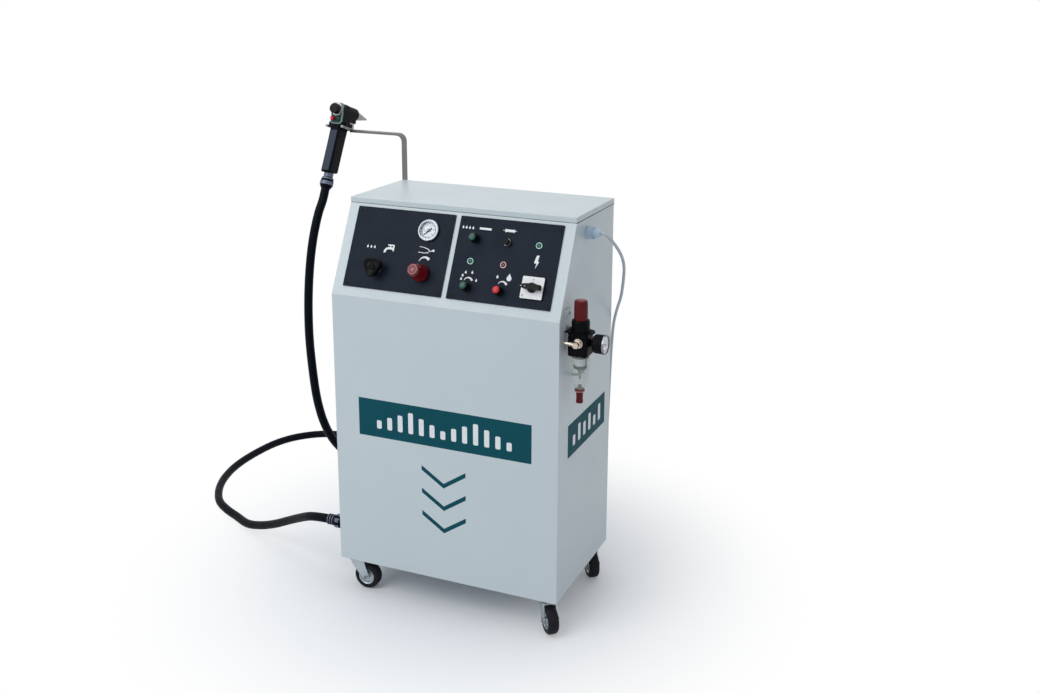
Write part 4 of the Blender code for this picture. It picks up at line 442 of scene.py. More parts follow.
# Finishes. Each row: colour on screen, roughness, mottle (amount, scale), smudge (low, high, scale),
# grain (scale, depth, strength, detail), metallic, specular level and other sockets. A further number
# in a bracket stretches its noise along Z.
FINISHES = {
    "paint": ((195, 206, 211), 0.36, (0.012, 5), (0.31, 0.42, 9), (900, 6e-5, 0.35, 1)),
    "panel": ((25, 33, 46), 0.48, (0.05, 30), (0.42, 0.54, 25), (2600, 3e-5, 0.35, 1), 0, 0.08),
    "zinc": ((178, 187, 192), 0.32, (0.06, 90), (0.26, 0.42, 120), (700, 3e-5, 0.3), 0.8),
    "bar_steel": ((112, 113, 114), 0.38, (0.1, 60, 0.1), (0.3, 0.46, 200, 0.05), (1500, 3e-5, 0.4, 3, 0.02),
                  0.7),
    "rod_black": ((20, 22, 26), 0.36, (0.1, 200), None, (900, 3e-5, 0.3), 0, 0.15),
    "chrome": ((134, 138, 145), 0.26, None, (0.2, 0.32, 150), (500, 1e-5, 0.3), 1),
    "silver": ((158, 160, 163), 0.28, None, (0.22, 0.34, 150), (700, 2e-5, 0.3), 0.9),
    "nickel": ((196, 184, 172), 0.24, None, (0.18, 0.32, 300), (800, 2e-5, 0.3), 1),
    "stainless": ((190, 191, 190), 0.32, None, (0.26, 0.4, 60, 8), (900, 2e-5, 0.4, 3, 20), 1),
    "cast_grey": ((112, 115, 118), 0.5, (0.08, 150), None, (420, 1e-4, 0.5), 0.5),
    "gloss_black": ((7, 8, 12), 0.24, None, (0.18, 0.32, 180), (900, 2e-5, 0.2), 0, 0.1),
    "black_plastic": ((11, 12, 16), 0.42, (0.08, 160), (0.36, 0.5, 140), (1500, 4e-5, 0.45, 1), 0, 0.05),
    "gun_plastic": ((6, 9, 16), 0.46, (0.1, 120), (0.36, 0.52, 90), (1200, 6e-5, 0.6, 1), 0, 0.05),
    # Blue-grey of the grip's rear face: painted light on the face the key light falls on.
    "grip_painted_light": ((54, 62, 76), 0.48, (0.06, 140), None, (1200, 6e-5, 0.6, 1), 0, 0.12),
    "nut_blue": ((92, 102, 120), 0.4, (0.1, 160), None, (900, 4e-5, 0.4), 0.35),
    "tyre": ((30, 30, 34), 0.6, (0.16, 80), (0.52, 0.7, 120), (800, 8e-5, 0.5), 0, 0.12),
    "hub_grey": ((112, 126, 140), 0.42, (0.05, 100), None, (900, 3e-5, 0.4)),
    "hose": ((9, 14, 22), 0.46, (0.12, 70), (0.36, 0.54, 90), (700, 1e-4, 0.45), 0, 0.05),
    "cable": ((190, 196, 204), 0.42, (0.04, 120), (0.36, 0.5, 150), (1400, 3e-5, 0.4), 0, 0.3),
    "gland": ((182, 202, 220), 0.4, (0.05, 140), None, (1200, 4e-5, 0.4), 0, 0.3),
    "red_plastic": ((106, 12, 20), 0.2, (0.1, 90), (0.16, 0.26, 140), (900, 2e-5, 0.2), 0, 0.2,
                    {"Coat Weight": 0.25}),
    # A lighter copy of the knobs' red: painted highlight on the pressure knob's nose and the filter knob's
    # cap.
    "red_highlight": ((132, 34, 46), 0.18, (0.06, 200), None, (900, 2e-5, 0.2), 0, 0.5, {"Coat Weight": 0.35}),
    "filter_red": ((94, 24, 30), 0.36, (0.08, 120), (0.3, 0.44, 160), (1200, 3e-5, 0.3), 0, 0.12),
    "drain_pink": ((176, 118, 122), 0.36, (0.06, 160), None, (1200, 3e-5, 0.3), 0, 0.3),
    "cap_green": ((12, 76, 62), 0.22, (0.05, 200), None, (900, 2e-5, 0.2), 0, 0.2, {"Coat Weight": 0.3}),
    "cap_red": ((196, 18, 36), 0.22, (0.05, 200), None, (900, 2e-5, 0.2), 0, 0.2, {"Coat Weight": 0.3}),
    "teal_film": ((20, 78, 90), 0.5, (0.02, 12), (0.45, 0.55, 30), (1400, 2e-5, 0.3), 0, 0.04),
    "rear_teal": ((12, 54, 50), 0.34, (0.05, 160), None, (1200, 3e-5, 0.3), 0, 0.2),
    "rim_green": ((104, 136, 132), 0.34, (0.04, 160), None, (1200, 3e-5, 0.3), 0, 0.3),
    "white_print": ((226, 230, 232), 0.4, (0.02, 200), None, (1600, 2e-5, 0.3)),
    "plate_white": ((228, 231, 234), 0.3, (0.015, 90), (0.24, 0.36, 90), (1200, 2e-5, 0.2)),
    "dial_white": ((214, 219, 226), 0.55, (0.02, 300), None, (1400, 2e-5, 0.2)),
    "scale_grey": ((74, 80, 92), 0.5, (0.08, 300), None, (1500, 1e-5, 0.2)),
    "band_grey": ((150, 156, 166), 0.5, (0.04, 300), None, (1500, 1e-5, 0.2)),
    "ink": ((12, 14, 18), 0.5, (0.1, 300), None, (1500, 1e-5, 0.2), 0, 0.12),
    "nozzle_beige": ((150, 149, 142), 0.36, (0.05, 150), (0.28, 0.44, 180), (900, 3e-5, 0.4), 0.3),
    # The lamps' bezels: bright metal, tinted with their lens colour as a painted reflection.
    "lamp_green_ring": ((150, 206, 190), 0.2, None, (0.14, 0.26, 300), (900, 1e-5, 0.2), 0.35, 0.5,
                        {"Coat Weight": 0.5}),
    "lamp_red_ring": ((204, 160, 166), 0.2, None, (0.14, 0.26, 300), (900, 1e-5, 0.2), 0.35, 0.5,
                      {"Coat Weight": 0.5}),
    "lens_green": ((10, 48, 40), 0.12, (0.1, 300), None, (900, 1e-5, 0.2), 0, 0.5,
                   {"Transmission Weight": 0.2, "Coat Weight": 0.4}),
    "lens_red": ((72, 16, 28), 0.12, (0.1, 300), None, (900, 1e-5, 0.2), 0, 0.5,
                 {"Transmission Weight": 0.2, "Coat Weight": 0.4}),
    "bowl_clear": ((212, 218, 210), 0.14, None, (0.08, 0.2, 120), None, 0, 0.5, {"Alpha": 0.16}),
    "element_white": ((226, 229, 232), 0.8, (0.04, 300), None, (1600, 1e-4, 0.8)),
    "board": ((34, 92, 56), 0.45, (0.12, 140), None, (900, 3e-5, 0.3)),
    "air_tube": ((128, 137, 142), 0.36, (0.04, 140), None, (900, 2e-5, 0.3)),
}
GLASS = (0.96, 0.98, 0.98)
GLASS_SOCKETS = {"Transmission Weight": 1, "IOR": 1.12, "Alpha": 0.35}
NOISE_RANGE = (0.3, 0.7)

NODES_OF_FINISH = {
    "paint": "cabinet_body rear_panel lid",
    "zinc": "base_plate lid_hinge castor_fork_front_left castor_fork_front_right castor_fork_rear_left "
            "castor_fork_rear_right",
    "panel": "panel_left panel_right",
    "chrome": "gauge_case",
    "ink": "gauge_needle",
    "glass": "gauge_glass",
    "cast_grey": "valve_body pressure_regulator",
    "red_plastic": "pressure_knob",
    "gloss_black": "valve_knob mode_knob dose_knob time_knob fuse_holder fuse_cap switch_lever gun_knob",
    "board": "control_board",
    "gland": "cable_gland",
    "black_plastic": "mains_plug filter_body filter_bonnet filter_gauge solenoid_valve",
    "filter_red": "filter_knob filter_drain",
    "bowl_clear": "filter_bowl",
    "nickel": "inlet_nipple",
    "air_tube": "outlet_tube",
    "gun_plastic": "hose_fitting gun_body",
    "bar_steel": "holder_bracket holder_bar",
    "nozzle_beige": "gun_nozzle",
    "silver": "gun_trigger",
    "cap_red": "gun_red_button",
    "rear_teal": "gun_green_button",
    "stainless": "glue_tank tank_lid",
}


def srgb(screen):
    """A colour as it looks on screen, in 0 to 255, as linear light."""
    return [((v / 255 + 0.055) / 1.055) ** 2.4 if v > 10 else v / 255 / 12.92 for v in screen]


class Finish:
    """A material, its Principled shader, and ways to give it the detail of the real surface."""

    def __init__(self, name, colour, roughness, metallic=0, specular=0.5, others=()):
        self.material = bpy.data.materials.new(name)
        self.material.use_nodes = True
        self.tree = self.material.node_tree
        self.shader = self.tree.nodes["Principled BSDF"]
        self.colour = colour
        self.height = {}
        set_sockets(self.shader, {"Base Color": (*colour, 1), "Roughness": roughness,
                                  "Metallic": metallic, "Specular IOR Level": specular, **dict(others)})

    def noise(self, scale, detail, stretch):
        place = new_node(self.tree, "TexCoord")
        mapping = new_node(self.tree, "Mapping", {"Scale": (1, 1, stretch)},
                           {"Vector": place.outputs["Object"]})
        texture = new_node(self.tree, "TexNoise", {"Scale": scale, "Detail": detail},
                           {"Vector": mapping.outputs["Vector"]})
        return texture.outputs["Fac"]

    def spread(self, value, low, high):
        limits = {"From Min": NOISE_RANGE[0], "From Max": NOISE_RANGE[1], "To Min": low, "To Max": high}
        return new_node(self.tree, "MapRange", limits, {"Value": value}).outputs["Result"]

    def mottle(self, amount, scale, stretch=1):
        """Lets the colour drift a little lighter and darker."""
        darker, lighter = ([min(c * factor, 1) for c in self.colour] for factor in (1 - amount, 1 + amount))
        share = self.spread(self.noise(scale, 4, stretch), 0, 1)
        mix = new_node(self.tree, "Mix", {"A": (*darker, 1), "B": (*lighter, 1)}, {"Factor": share},
                       data_type="RGBA")
        self.tree.links.new(mix.outputs["Result"], self.shader.inputs["Base Color"])

    def smudge(self, low, high, scale, stretch=1):
        """Lets the roughness drift between two values."""
        value = self.spread(self.noise(scale, 3, stretch), low, high)
        self.tree.links.new(value, self.shader.inputs["Roughness"])

    def grain(self, scale, depth, strength, detail=3, stretch=1):
        """Adds fine relief on top of what is there."""
        sources = {"Height": self.noise(scale, detail, stretch), **self.height}
        bump = new_node(self.tree, "Bump", {"Strength": strength, "Distance": depth}, sources)
        self.height = {"Normal": bump.outputs["Normal"]}
        self.tree.links.new(bump.outputs["Normal"], self.shader.inputs["Normal"])


def make_finishes():
    made = {}
    for name, (colour, roughness, mottle, smudge, grain, *others) in FINISHES.items():
        finish = Finish(name, srgb(colour), roughness, *others)
        for step, values in ((finish.mottle, mottle), (finish.smudge, smudge), (finish.grain, grain)):
            if values is not None:
                step(*values)
        made[name] = finish
    made["paint"].grain(60, 0.0002, 0.05)
    made["glass"] = Finish("glass", GLASS, 0.04, 0, 0.5, GLASS_SOCKETS)
    made["glass"].smudge(0.02, 0.06, 200)
    return {name: finish.material for name, finish in made.items()}


def dress_nodes():
    for finish, nodes in NODES_OF_FINISH.items():
        for node in nodes.split():
            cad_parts[node].material_slots[0].material = FINISH[finish]


FINISH = make_finishes()


# Mesh tools

def piece(name, shape, finish, smooth=35, body=BODY):
    bmesh.ops.remove_doubles(shape, verts=shape.verts, dist=1e-6)
    bmesh.ops.recalc_face_normals(shape, faces=shape.faces)
    mesh = bpy.data.meshes.new(name)
    shape.to_mesh(mesh)
    shape.free()
    item = new_object(name, mesh)
    mesh.materials.append(FINISH[finish])
    if smooth:
        mesh.shade_smooth()
        mesh.set_sharp_from_angle(angle=radians(smooth))
    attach(item, body)
    return item


def prism(outline, low, high, place, shape=None):
    """An upright solid over an outline, in a new mesh or added to one."""
    shape = bmesh.new() if shape is None else shape
    bottom = [shape.verts.new(place @ Vector((x, y, low))) for x, y in outline]
    top = [shape.verts.new(place @ Vector((x, y, high))) for x, y in outline]
    for i in range(len(outline)):
        j = (i + 1) % len(outline)
        shape.faces.new((bottom[i], bottom[j], top[j], top[i]))
    shape.faces.new(list(reversed(bottom)))
    shape.faces.new(top)
    return shape


def turned(profile, count, place, shape=None):
    """A solid of revolution about Z from (radius, z) points; a closed profile makes a ring."""
    shape = bmesh.new() if shape is None else shape
    closed = profile[0] == profile[-1]
    steps = [2 * pi * i / count for i in range(count)]
    rows = []
    for radius, z in profile[:-1] if closed else profile:
        if radius == 0:
            rows.append([shape.verts.new(place @ Vector((0, 0, z)))] * count)
            continue
        points = [(radius * cos(a), radius * sin(a), z) for a in steps]
        rows.append([shape.verts.new(place @ Vector(point)) for point in points])
    for upper, lower in zip(rows, rows[1:] + rows[:1] if closed else rows[1:]):
        for i in range(count):
            j = (i + 1) % count
            corners = [upper[i], lower[i], lower[j], upper[j]]
            corners = [v for k, v in enumerate(corners) if v not in corners[:k]]
            if len(corners) > 2:
                shape.faces.new(corners)
    return shape


def arc(centre, radius, start, end, count):
    steps = [radians(start + (end - start) * i / (count - 1)) for i in range(count)]
    return [(centre[0] + radius * cos(a), centre[1] + radius * sin(a)) for a in steps]


def box_outline(low, high, radius=0, count=4):
    if radius == 0:
        return [low, (high[0], low[1]), high, (low[0], high[1])]
    x0, y0, x1, y1 = low[0] + radius, low[1] + radius, high[0] - radius, high[1] - radius
    points = arc((x1, y1), radius, 0, 90, count) + arc((x0, y1), radius, 90, 180, count)
    return points + arc((x0, y0), radius, 180, 270, count) + arc((x1, y0), radius, 270, 360, count)


def middle_box(half_x, half_y, radius=0, count=4):
    return box_outline((-half_x, -half_y), (half_x, half_y), radius, count)


def stroke(points, widths):
    """The outline of a line of changing width through the points."""
    left, right = [], []
    for i, (point, width) in enumerate(zip(points, widths)):
        before = Vector(points[max(i - 1, 0)])
        after = Vector(points[min(i + 1, len(points) - 1)])
        ahead = (after - before).normalized()
        side = Vector((-ahead.y, ahead.x)) * width / 2
        left.append(tuple(Vector(point) + side))
        right.append(tuple(Vector(point) - side))
    return left + right[::-1]


def ring(inner, outer, low, high, count, place, edge=0.0002, shape=None):
    """A flat ring with a small bevel at its top."""
    profile = [(inner, high), (outer - edge, high), (outer, high - edge), (outer, low), (inner, low)]
    return turned(profile + profile[:1], count, place, shape)


def punched(name, outlines, low, high, place):
    """A mesh plate from a 2D curve: the first outline is its edge, the others are holes."""
    curve = bpy.data.curves.new(name, "CURVE")
    curve.dimensions = "2D"
    curve.fill_mode = "BOTH"
    curve.extrude = (high - low) / 2
    for outline in outlines:
        add_spline(curve, [(x, y, 0) for x, y in outline], True)
    item = new_object(name, curve)
    item.matrix_world = place @ move(0, 0, (low + high) / 2)
    item = as_mesh(item)
    shape = bmesh.new()
    shape.from_mesh(item.data)
    bpy.data.objects.remove(item, do_unlink=True)
    return shape


# Signs printed on the panels

def drop_outline(at, radius, tip=2.2):
    reach = degrees(acos(1 / tip))
    return arc(at, radius, 90 - reach, -270 + reach, 14) + [(at[0], at[1] + tip * radius)]


def crescent(centre, radius, start, end, thin, thick):
    """An arc that grows from a thin end to a thick one."""
    count = 12
    widths = [thin + (thick - thin) * i / (count - 1) for i in range(count)]
    return stroke(arc(centre, radius, start, end, count), widths)


def tap_outlines(at):
    """A small tap: spout, pipe, wall flange, stem and handle."""
    spout = crescent(*around(at, (-1, -4.5)), 0.0085, 190, 95, 0.0052, 0.0044)
    rest = (((-2.2, 1.6), (8.2, 6.4)), ((8.2, -1.4), (11.4, 11.8)), ((0.6, 6.4), (3.4, 9.4)),
            ((-4.2, 9.4), (8.2, 12.2)))
    return [spout] + [box_outline(*around(at, *corners)) for corners in rest]


def jet_outlines(at):
    """A spray jet that opens to the left of a round nozzle."""
    upper = stroke(around(at, (-33, 5.8), (-23, 5.2), (-14, 2.8), (-8.5, -0.6)),
                   (0.001, 0.0014, 0.0016, 0.002))
    lower = stroke(around(at, (-34.5, -6.2), (-20, -6.6), (-10.5, -5.2)), (0.0012, 0.0016, 0.0018))
    neck = stroke(around(at, (-10.5, -3.4), (-2.8, -0.6)), (0.0014, 0.0018))
    return [upper, lower, neck, arc(at, 0.0027, 0, 345, 16)]


def fuse_outlines(at):
    """A fuse on its wire, with a cap at each end."""
    forms = (((-15, -0.6), (15, 0.6), 0), ((-8.2, -2.6), (8.2, 2.6), 0.0008),
             ((-10.4, -3.4), (-8.2, 3.4), 0.0004), ((8.2, -3.4), (10.4, 3.4), 0.0004))
    return [box_outline(*around(at, low, high), radius) for low, high, radius in forms]


def make_panel_signs():
    small = 0.0021
    drops = ((32.9, 63.2), (35.1, 71), (40.7, 77.6), (55.3, 78.4), (67, 63))
    bolt = ((-1.9, 14.1), (3.8, 14.1), (2, 2.2), (5, 1.2), (-1.9, -14.2), (0.2, -3), (-5.7, -2))
    signs = [drop_outline(at, small) for at in mm((-195.7, 109), (-187.2, 109), (-178.9, 109))]
    signs += tap_outlines((-0.144, 0.106)) + jet_outlines((-0.0413, 0.1148))
    signs.append(crescent((PRESSURE_AT[0] + 0.0016, 0.087), 0.0125, 168, 38, 0.0012, 0.0058))
    signs += [drop_outline((0.016 + 0.0075 * k, 0.1708), small) for k in range(4)]
    signs.append(box_outline(*mm((53, 169.8), (79.8, 174.2)), 0.0006))
    signs += fuse_outlines((0.121, 0.173)) + [around((0.1905, 0.1145), *bolt)]
    signs += [drop_outline(at, small) for at in mm(*drops)]
    signs += [crescent((0.049, 0.0585), 0.0095, 160, 24, 0.001, 0.0044),
              drop_outline((0.112, 0.0756), small * 1.1), drop_outline((0.1376, 0.0752), 0.0053, 2),
              crescent((0.125, 0.058), 0.01, 155, 22, 0.001, 0.0046)]
    shape = bmesh.new()
    for i, outline in enumerate(signs):
        prism(outline, FACE + PRINT_LIFT, FACE + FILM + 1e-5 * (i % 5), FASCIA, shape)
    piece("panel_signs", shape, "white_print", 0)


# Screws and bolts

def cross_screw(shape, place, radius, height):
    """A domed screw head with a crossed recess, standing along the place's Z."""
    floor = height * SCREW_RECESS
    dome = [(radius * 0.98, 0), (radius, height * 0.35), (radius * 0.86, height * 0.75),
            (radius * 0.55, height), (radius * 0.5, height), (radius * 0.42, floor), (0, floor)]
    turned(dome, 18, place, shape)
    for angle in (20, 110):
        prism(middle_box(radius * 0.4, radius * 0.07), floor, floor + radius * 0.03, place @ turn("Z", angle),
              shape)


def hex_head(shape, place, size, height):
    profile = [(0, height), (size * 0.42, height), (size * 0.5, height * 0.86), (size * 0.5, 0)]
    turned(profile, 6, place, shape)


def make_panel_screws():
    shape = bmesh.new()
    for left, right in (PANEL_LEFT, PANEL_RIGHT):
        for x in (left + PANEL_SCREW_INSET, right - PANEL_SCREW_INSET):
            for y in (PANEL_ROWS[0] + PANEL_SCREW_INSET, PANEL_ROWS[1] - PANEL_SCREW_INSET):
                cross_screw(shape, FASCIA @ move(x, y, FACE) @ turn("Z", x * 900), 0.0034, 0.0017)
    piece("panel_screws", shape, "rod_black")


def make_cabinet_screws():
    """Screws round the rear panel, none where the lid's hinge is near."""
    shape = bmesh.new()
    back = ROOM @ move(0, REAR, 0) @ turn("X", -90)
    top = BODY_TOP - 0.03
    for x in (-SIDE + 0.014, 0, SIDE - 0.014):
        for z in (CASTOR_HEIGHT + 0.014, 0.33, 0.585, top):
            if (x, z) != (0, top):
                cross_screw(shape, back @ move(x, -z, 0) @ turn("Z", x * 700 + z * 900), 0.0048, 0.0022)
    piece("rear_screws", shape, "zinc")


def make_lid_seal():
    """Dark strip that shows as a thin line under the lid: painted shade for the shadow in the gap between lid
    and body.
    """
    low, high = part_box("lid")
    front = MIDDLE.y + FRONT + FASCIA_SETBACK
    proud, width = 0.0002, 0.004
    back = MIDDLE.y + REAR - proud
    outer = box_outline((low.x - proud, front - proud), (high.x + proud, back))
    inner = box_outline((low.x + width, front + width), (high.x - width, back - width))
    shade_line = punched("shade_line", [outer, inner], BODY_TOP - 0.0004, BODY_TOP + 0.0002, Matrix())
    piece("lid_shade_line", shade_line, "rod_black", 0)


# Gauges

def make_dial(name, place, radius, numbers):
    """A white disc with a grey band, marks over 270 degrees, and a number at each long mark."""
    disc = turned([(0, 0.00012), (radius, 0.00012), (radius, 0), (0, 0)], 48, place)
    piece(name + "_face", disc, "dial_white")
    grey = ring(radius * 0.8, radius * 0.86, 0.0001, 0.00016, 48, place, 2e-5)
    piece(name + "_band", grey, "band_grey", 0)
    low, high = 0.00012, 0.00018
    marks = bmesh.new()
    steps = 5 * (len(numbers) - 1)
    for i in range(steps + 1):
        inner, half = (0.83, 0.013) if i % 5 else (0.76, 0.026)
        mark = box_outline((-half * radius, inner * radius), (half * radius, 0.92 * radius))
        prism(mark, low, high, place @ turn("Z", 135 - 270 * i / steps), marks)
    ring(radius * 0.93, radius * 0.95, low, high, 48, place, 2e-5, marks)
    piece(name + "_marks", marks, "scale_grey", 0)
    reach = radius * 0.58
    for i, number in enumerate(numbers):
        angle = radians(225 - 270 * i / (len(numbers) - 1))
        text = bpy.data.curves.new(name + "_number_" + str(number), "FONT")
        text.body = str(number)
        text.size = radius * 0.22
        text.extrude = 3e-5
        text.resolution_u = 3
        text.align_x = text.align_y = "CENTER"
        item = new_object(text.name, text)
        item.matrix_world = place @ move(reach * cos(angle), reach * sin(angle), 0.00015)
        item = as_mesh(item, "scale_grey")
        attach(item, BODY)


def make_gauges():
    place = FASCIA @ move(*GAUGE_AT, FACE + DIAL_SEAT)
    make_dial("gauge", place, DIAL_RADIUS, [0, 2, 4, 6, 8, 10])
    side = FILTER @ move(FILTER_DIAL_X, 0, FILTER_DIAL_Z) @ turn("Z", 90) @ turn("X", 90)
    make_dial("filter_dial", side, 0.0176, [0, 4, 8, 12])
    pointing = side @ turn("Z", 62)
    needle = prism(mm((0.8, -5), (0.5, 14), (-0.5, 14), (-0.8, -5)), 0.0004, 0.0007, pointing)
    turned(mm((0, 1.2), (1.8, 1), (2, 0.3), (0, 0.3)), 18, pointing, needle)
    piece("filter_needle", needle, "ink")
    bezel = mm((17.7, 3), (19, 3.4), (20.3, 3), (20.4, -1), (17.7, -0.4), (17.7, 3))
    piece("filter_gauge_ring", turned(bezel, 48, side), "chrome")
    pane = mm((0, 2.7), (17.6, 2.4), (17.6, 1.7), (0, 1.9))
    piece("filter_gauge_pane", turned(pane, 36, side), "glass")


# Lamps, knob caps and main switch

def make_lamps():
    bezel = mm((4.6, 0.6), (4.9, 2), (5.5, 2.9), (6.2, 3), (6.9, 2.1), (7.1, 0.3), (4.6, 0.3), (4.6, 0.6))
    lens = mm((0, 2.6), (2, 2.4), (3.6, 1.7), (4.4, 0.8), (4.4, 0.3), (3.4, 0.2), (3.4, -16), (0, -16))
    for name, at in LAMPS.items():
        colour = "red" if name == "lamp_time" else "green"
        place = FASCIA @ move(*at, FACE)
        # The bezel's tint is a painted reflection of the lens colour.
        made = piece(name + "_ring", turned(bezel, 36, place), "lamp_%s_ring" % colour)
        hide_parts(name)
        piece(name + "_lens", turned(lens, 28, place), "lens_" + colour)


def make_knob_caps():
    radius = KNOB_CAP_RADIUS
    cap = [(0, 0.0009), (radius * 0.55, 0.0008), (radius * 0.86, 0.0003), (radius * 1.01, -0.0009),
           (radius * 1.02, -0.0029), (radius * 0.9, -0.003), (0, -0.003)]
    for name, at, finish in (("mode", MODE_AT, "cap_green"), ("dose", DOSE_AT, "cap_green"),
                             ("time", TIME_AT, "cap_red")):
        shape = turned(cap, 36, FASCIA @ move(*at, KNOB_TOP))
        piece(name + "_cap", shape, finish, body=name)


def make_main_switch():
    half = SWITCH_SIZE / 2
    rear = half - 0.0025
    top = SWITCH_BASE_TOP
    place = FASCIA @ move(*SWITCH_AT)
    base = prism(middle_box(half, half - 0.001, 0.002), FACE + GAP, top - SWITCH_PLATE, place)
    prism(middle_box(rear, rear, 0.002), -SWITCH_DEPTH, -0.0023, place, base)
    turned([(SWITCH_NECK_RADIUS, FACE + 0.001), (SWITCH_NECK_RADIUS, -0.003)], 24, place, base)
    made = piece("switch_base", base, "gloss_black")
    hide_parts("main_switch")
    step = top - 0.0002
    plate = prism(middle_box(half - 0.0002, half - 0.0012, 0.0022), top - SWITCH_PLATE, step, place)
    prism(middle_box(half - 0.0008, half - 0.0018, 0.0018), step, top, place, plate)
    piece("switch_plate", plate, "plate_white", 20)
    high = top + 8e-5
    marks = prism(box_outline(*mm((-0.5, 15), (0.5, 19))), top, high, place)
    circle = [(0.0015, high), (0.0023, high), (0.0023, top), (0.0015, top), (0.0015, high)]
    turned(circle, 24, place @ move(-0.0185, -0.017), marks)
    piece("switch_marks", marks, "ink", 0)
    high = LEVER_TOP + 0.00012
    pointer = prism(box_outline(*mm((-20, -0.5), (-16, 0.5)), 0.0003), LEVER_TOP, high, place)
    dot = [(0, high), (0.0008, high), (0.0008, LEVER_TOP), (0, LEVER_TOP)]
    turned(dot, 16, place @ move(-0.01), pointer)
    piece("switch_pointer", pointer, "white_print", 0, "switch")


def make_knob_details():
    """Ring round the fuse, the valve knob's centre disc, a lighter red ring and centre on the pressure knob's
    nose as painted highlight, and a dark ring round the pressure knob's foot as painted shade.
    """
    fuse = ring(*FUSE_RING, FUSE_FLANGE, FUSE_FLANGE + 0.0004, 36, FASCIA @ move(*FUSE_AT, FACE))
    piece("fuse_ring", fuse, "silver")
    disc = mm((0, -1.6), (7.2, -1.6), (8, -2.2), (8, -4), (0, -4))
    valve = turned(disc, 32, FASCIA @ move(*VALVE_AT, VALVE_KNOB_TOP))
    piece("valve_knob_disc", valve, "black_plastic", body="valve")
    place = FASCIA @ move(*PRESSURE_AT, PRESSURE_KNOB_TOP)
    edge = PRESSURE_NOSE_RADIUS
    # Lighter red ring and centre on the nose: painted highlight.
    nose = ring(edge * 0.62, edge * 0.78, -0.0006, 0.0004, 40, place)
    turned([(0, 0.0005), (edge * 0.28, 0.0004), (edge * 0.32, 0), (0, 0)], 32, place, nose)
    piece("pressure_knob_highlight", nose, "red_highlight", body="pressure")
    # Dark ring round the knob's foot: painted shade under its skirt.
    shade_ring = ring(*PRESSURE_SHADE_RING, 0.0003, 0.0034, 48, FASCIA @ move(*PRESSURE_AT, FACE), 0.0006)
    piece("pressure_knob_shade_ring", shade_ring, "gloss_black")


# Filter, gland, hose fitting and holder

def make_filter_details():
    collar = mm((8, 0.3), (9.8, 0.3), (9.8, 1.4), (8.8, 1.8), (8, 1.8), (8, 0.3))
    place = FILTER @ move(0.0035, -FILTER_SIZE / 2 - FILTER_BOSS, NIPPLE_Z) @ turn("X", 90)
    piece("inlet_washer", turned(collar, 32, place), "nickel")
    top = FILTER_KNOB_TOP
    radius = FILTER_KNOB_RADIUS - 0.0042
    cap = [(0, top + 0.0003), (radius - 0.0008, top + 0.0003), (radius, top - 0.0002),
           (radius, top - 0.001), (0, top - 0.001)]
    # The cap in the lighter red is a painted highlight on the knob's top.
    piece("filter_knob_cap", turned(cap, 32, FILTER), "red_highlight",
          body="filter_adjuster")
    collar = mm((7.6, -6.9), (10.6, -4.6), (10.8, -2.8), (10.2, -2.6), (7.6, -6), (7.6, -6.9))
    shape = turned(collar, 32, FILTER @ move(0, 0, BOWL_BOTTOM))
    piece("drain_collar", shape, "drain_pink", body="drain")


def make_filter_inside():
    """White element with its pleats, black baffle and dark rod, seen through the bowl."""
    hang = -FILTER_BODY_HEIGHT - BOWL_SEAT - GAP
    baffle = hang - ELEMENT_HEIGHT
    pleats = 36
    outline = []
    for i in range(2 * pleats):
        angle = pi * i / pleats
        reach = ELEMENT_RADIUS - (0.0006 if i % 2 else 0)
        outline.append((reach * cos(angle), reach * sin(angle)))
    made = piece("element_pleats", prism(outline, baffle, hang, FILTER), "element_white",
                 20)
    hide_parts("filter_element")
    place = FILTER @ move(z=baffle)
    plate = mm((0, -0.2), (12.7, -0.4), (13.5, -1.4), (13.5, -5), (12.5, -6), (6, -7), (0, -7))
    piece("element_baffle", turned(plate, 40, place), "black_plastic")
    stem = mm((0, -7.1), (5.8, -7.1), (3.6, -16.5), (2.2, -18), (2.2, -28.5), (0, -28.5))
    piece("element_rod", turned(stem, 24, place), "cast_grey")


def make_bracket():
    """The wall leg in the cabinet's paint and the black plate that holds the bonnet."""
    wall = GAP - FILTER_OFFSET
    leg = FILTER_BRACKET_HALF
    sheet = FILTER_BRACKET_SHEET
    nose = arc((0.012, 0), 0.018, -60, 60, 9)
    outline = [(wall, -leg), (0.004, -0.0235)] + nose + [(0.004, 0.0235), (wall, leg)]
    hole = arc((0, 0), FILTER_NECK_RADIUS + GAP, 0, 350, 36)
    plate = punched("plate", [outline, hole], GAP, GAP + sheet, FILTER)
    made = piece("bracket_plate", plate, "black_plastic", 30)
    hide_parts("filter_bracket")
    upright = prism(box_outline((-leg, GAP + sheet), (leg, GAP + FILTER_BRACKET_HEIGHT), 0.003), wall,
                    wall + sheet, FILTER @ turn("Z", 90) @ turn("X", 90))
    piece("bracket_leg", upright, "paint", 30)
    screws = bmesh.new()
    for y in (-0.009, 0.009):
        place = FILTER @ move(wall + sheet, y, FILTER_BRACKET_HEIGHT - 0.012) @ turn("Y", 90)
        cross_screw(screws, place @ turn("Z", y * 4000), 0.0042, 0.0018)
    piece("bracket_screws", screws, "paint")


def make_gland_details():
    ribs = bmesh.new()
    place = ROOM @ move(SIDE, GLAND_Y, BODY_TOP - GLAND_BELOW_TOP) @ turn("Y", 90)
    rib = box_outline(*mm((11.2, -0.35), (12.2, 0.35)))
    for i in range(GLAND_RIBS):
        prism(rib, 0.0118, 0.019, place @ turn("Z", 360 * i / GLAND_RIBS), ribs)
    piece("gland_ribs", ribs, "gland", 0)


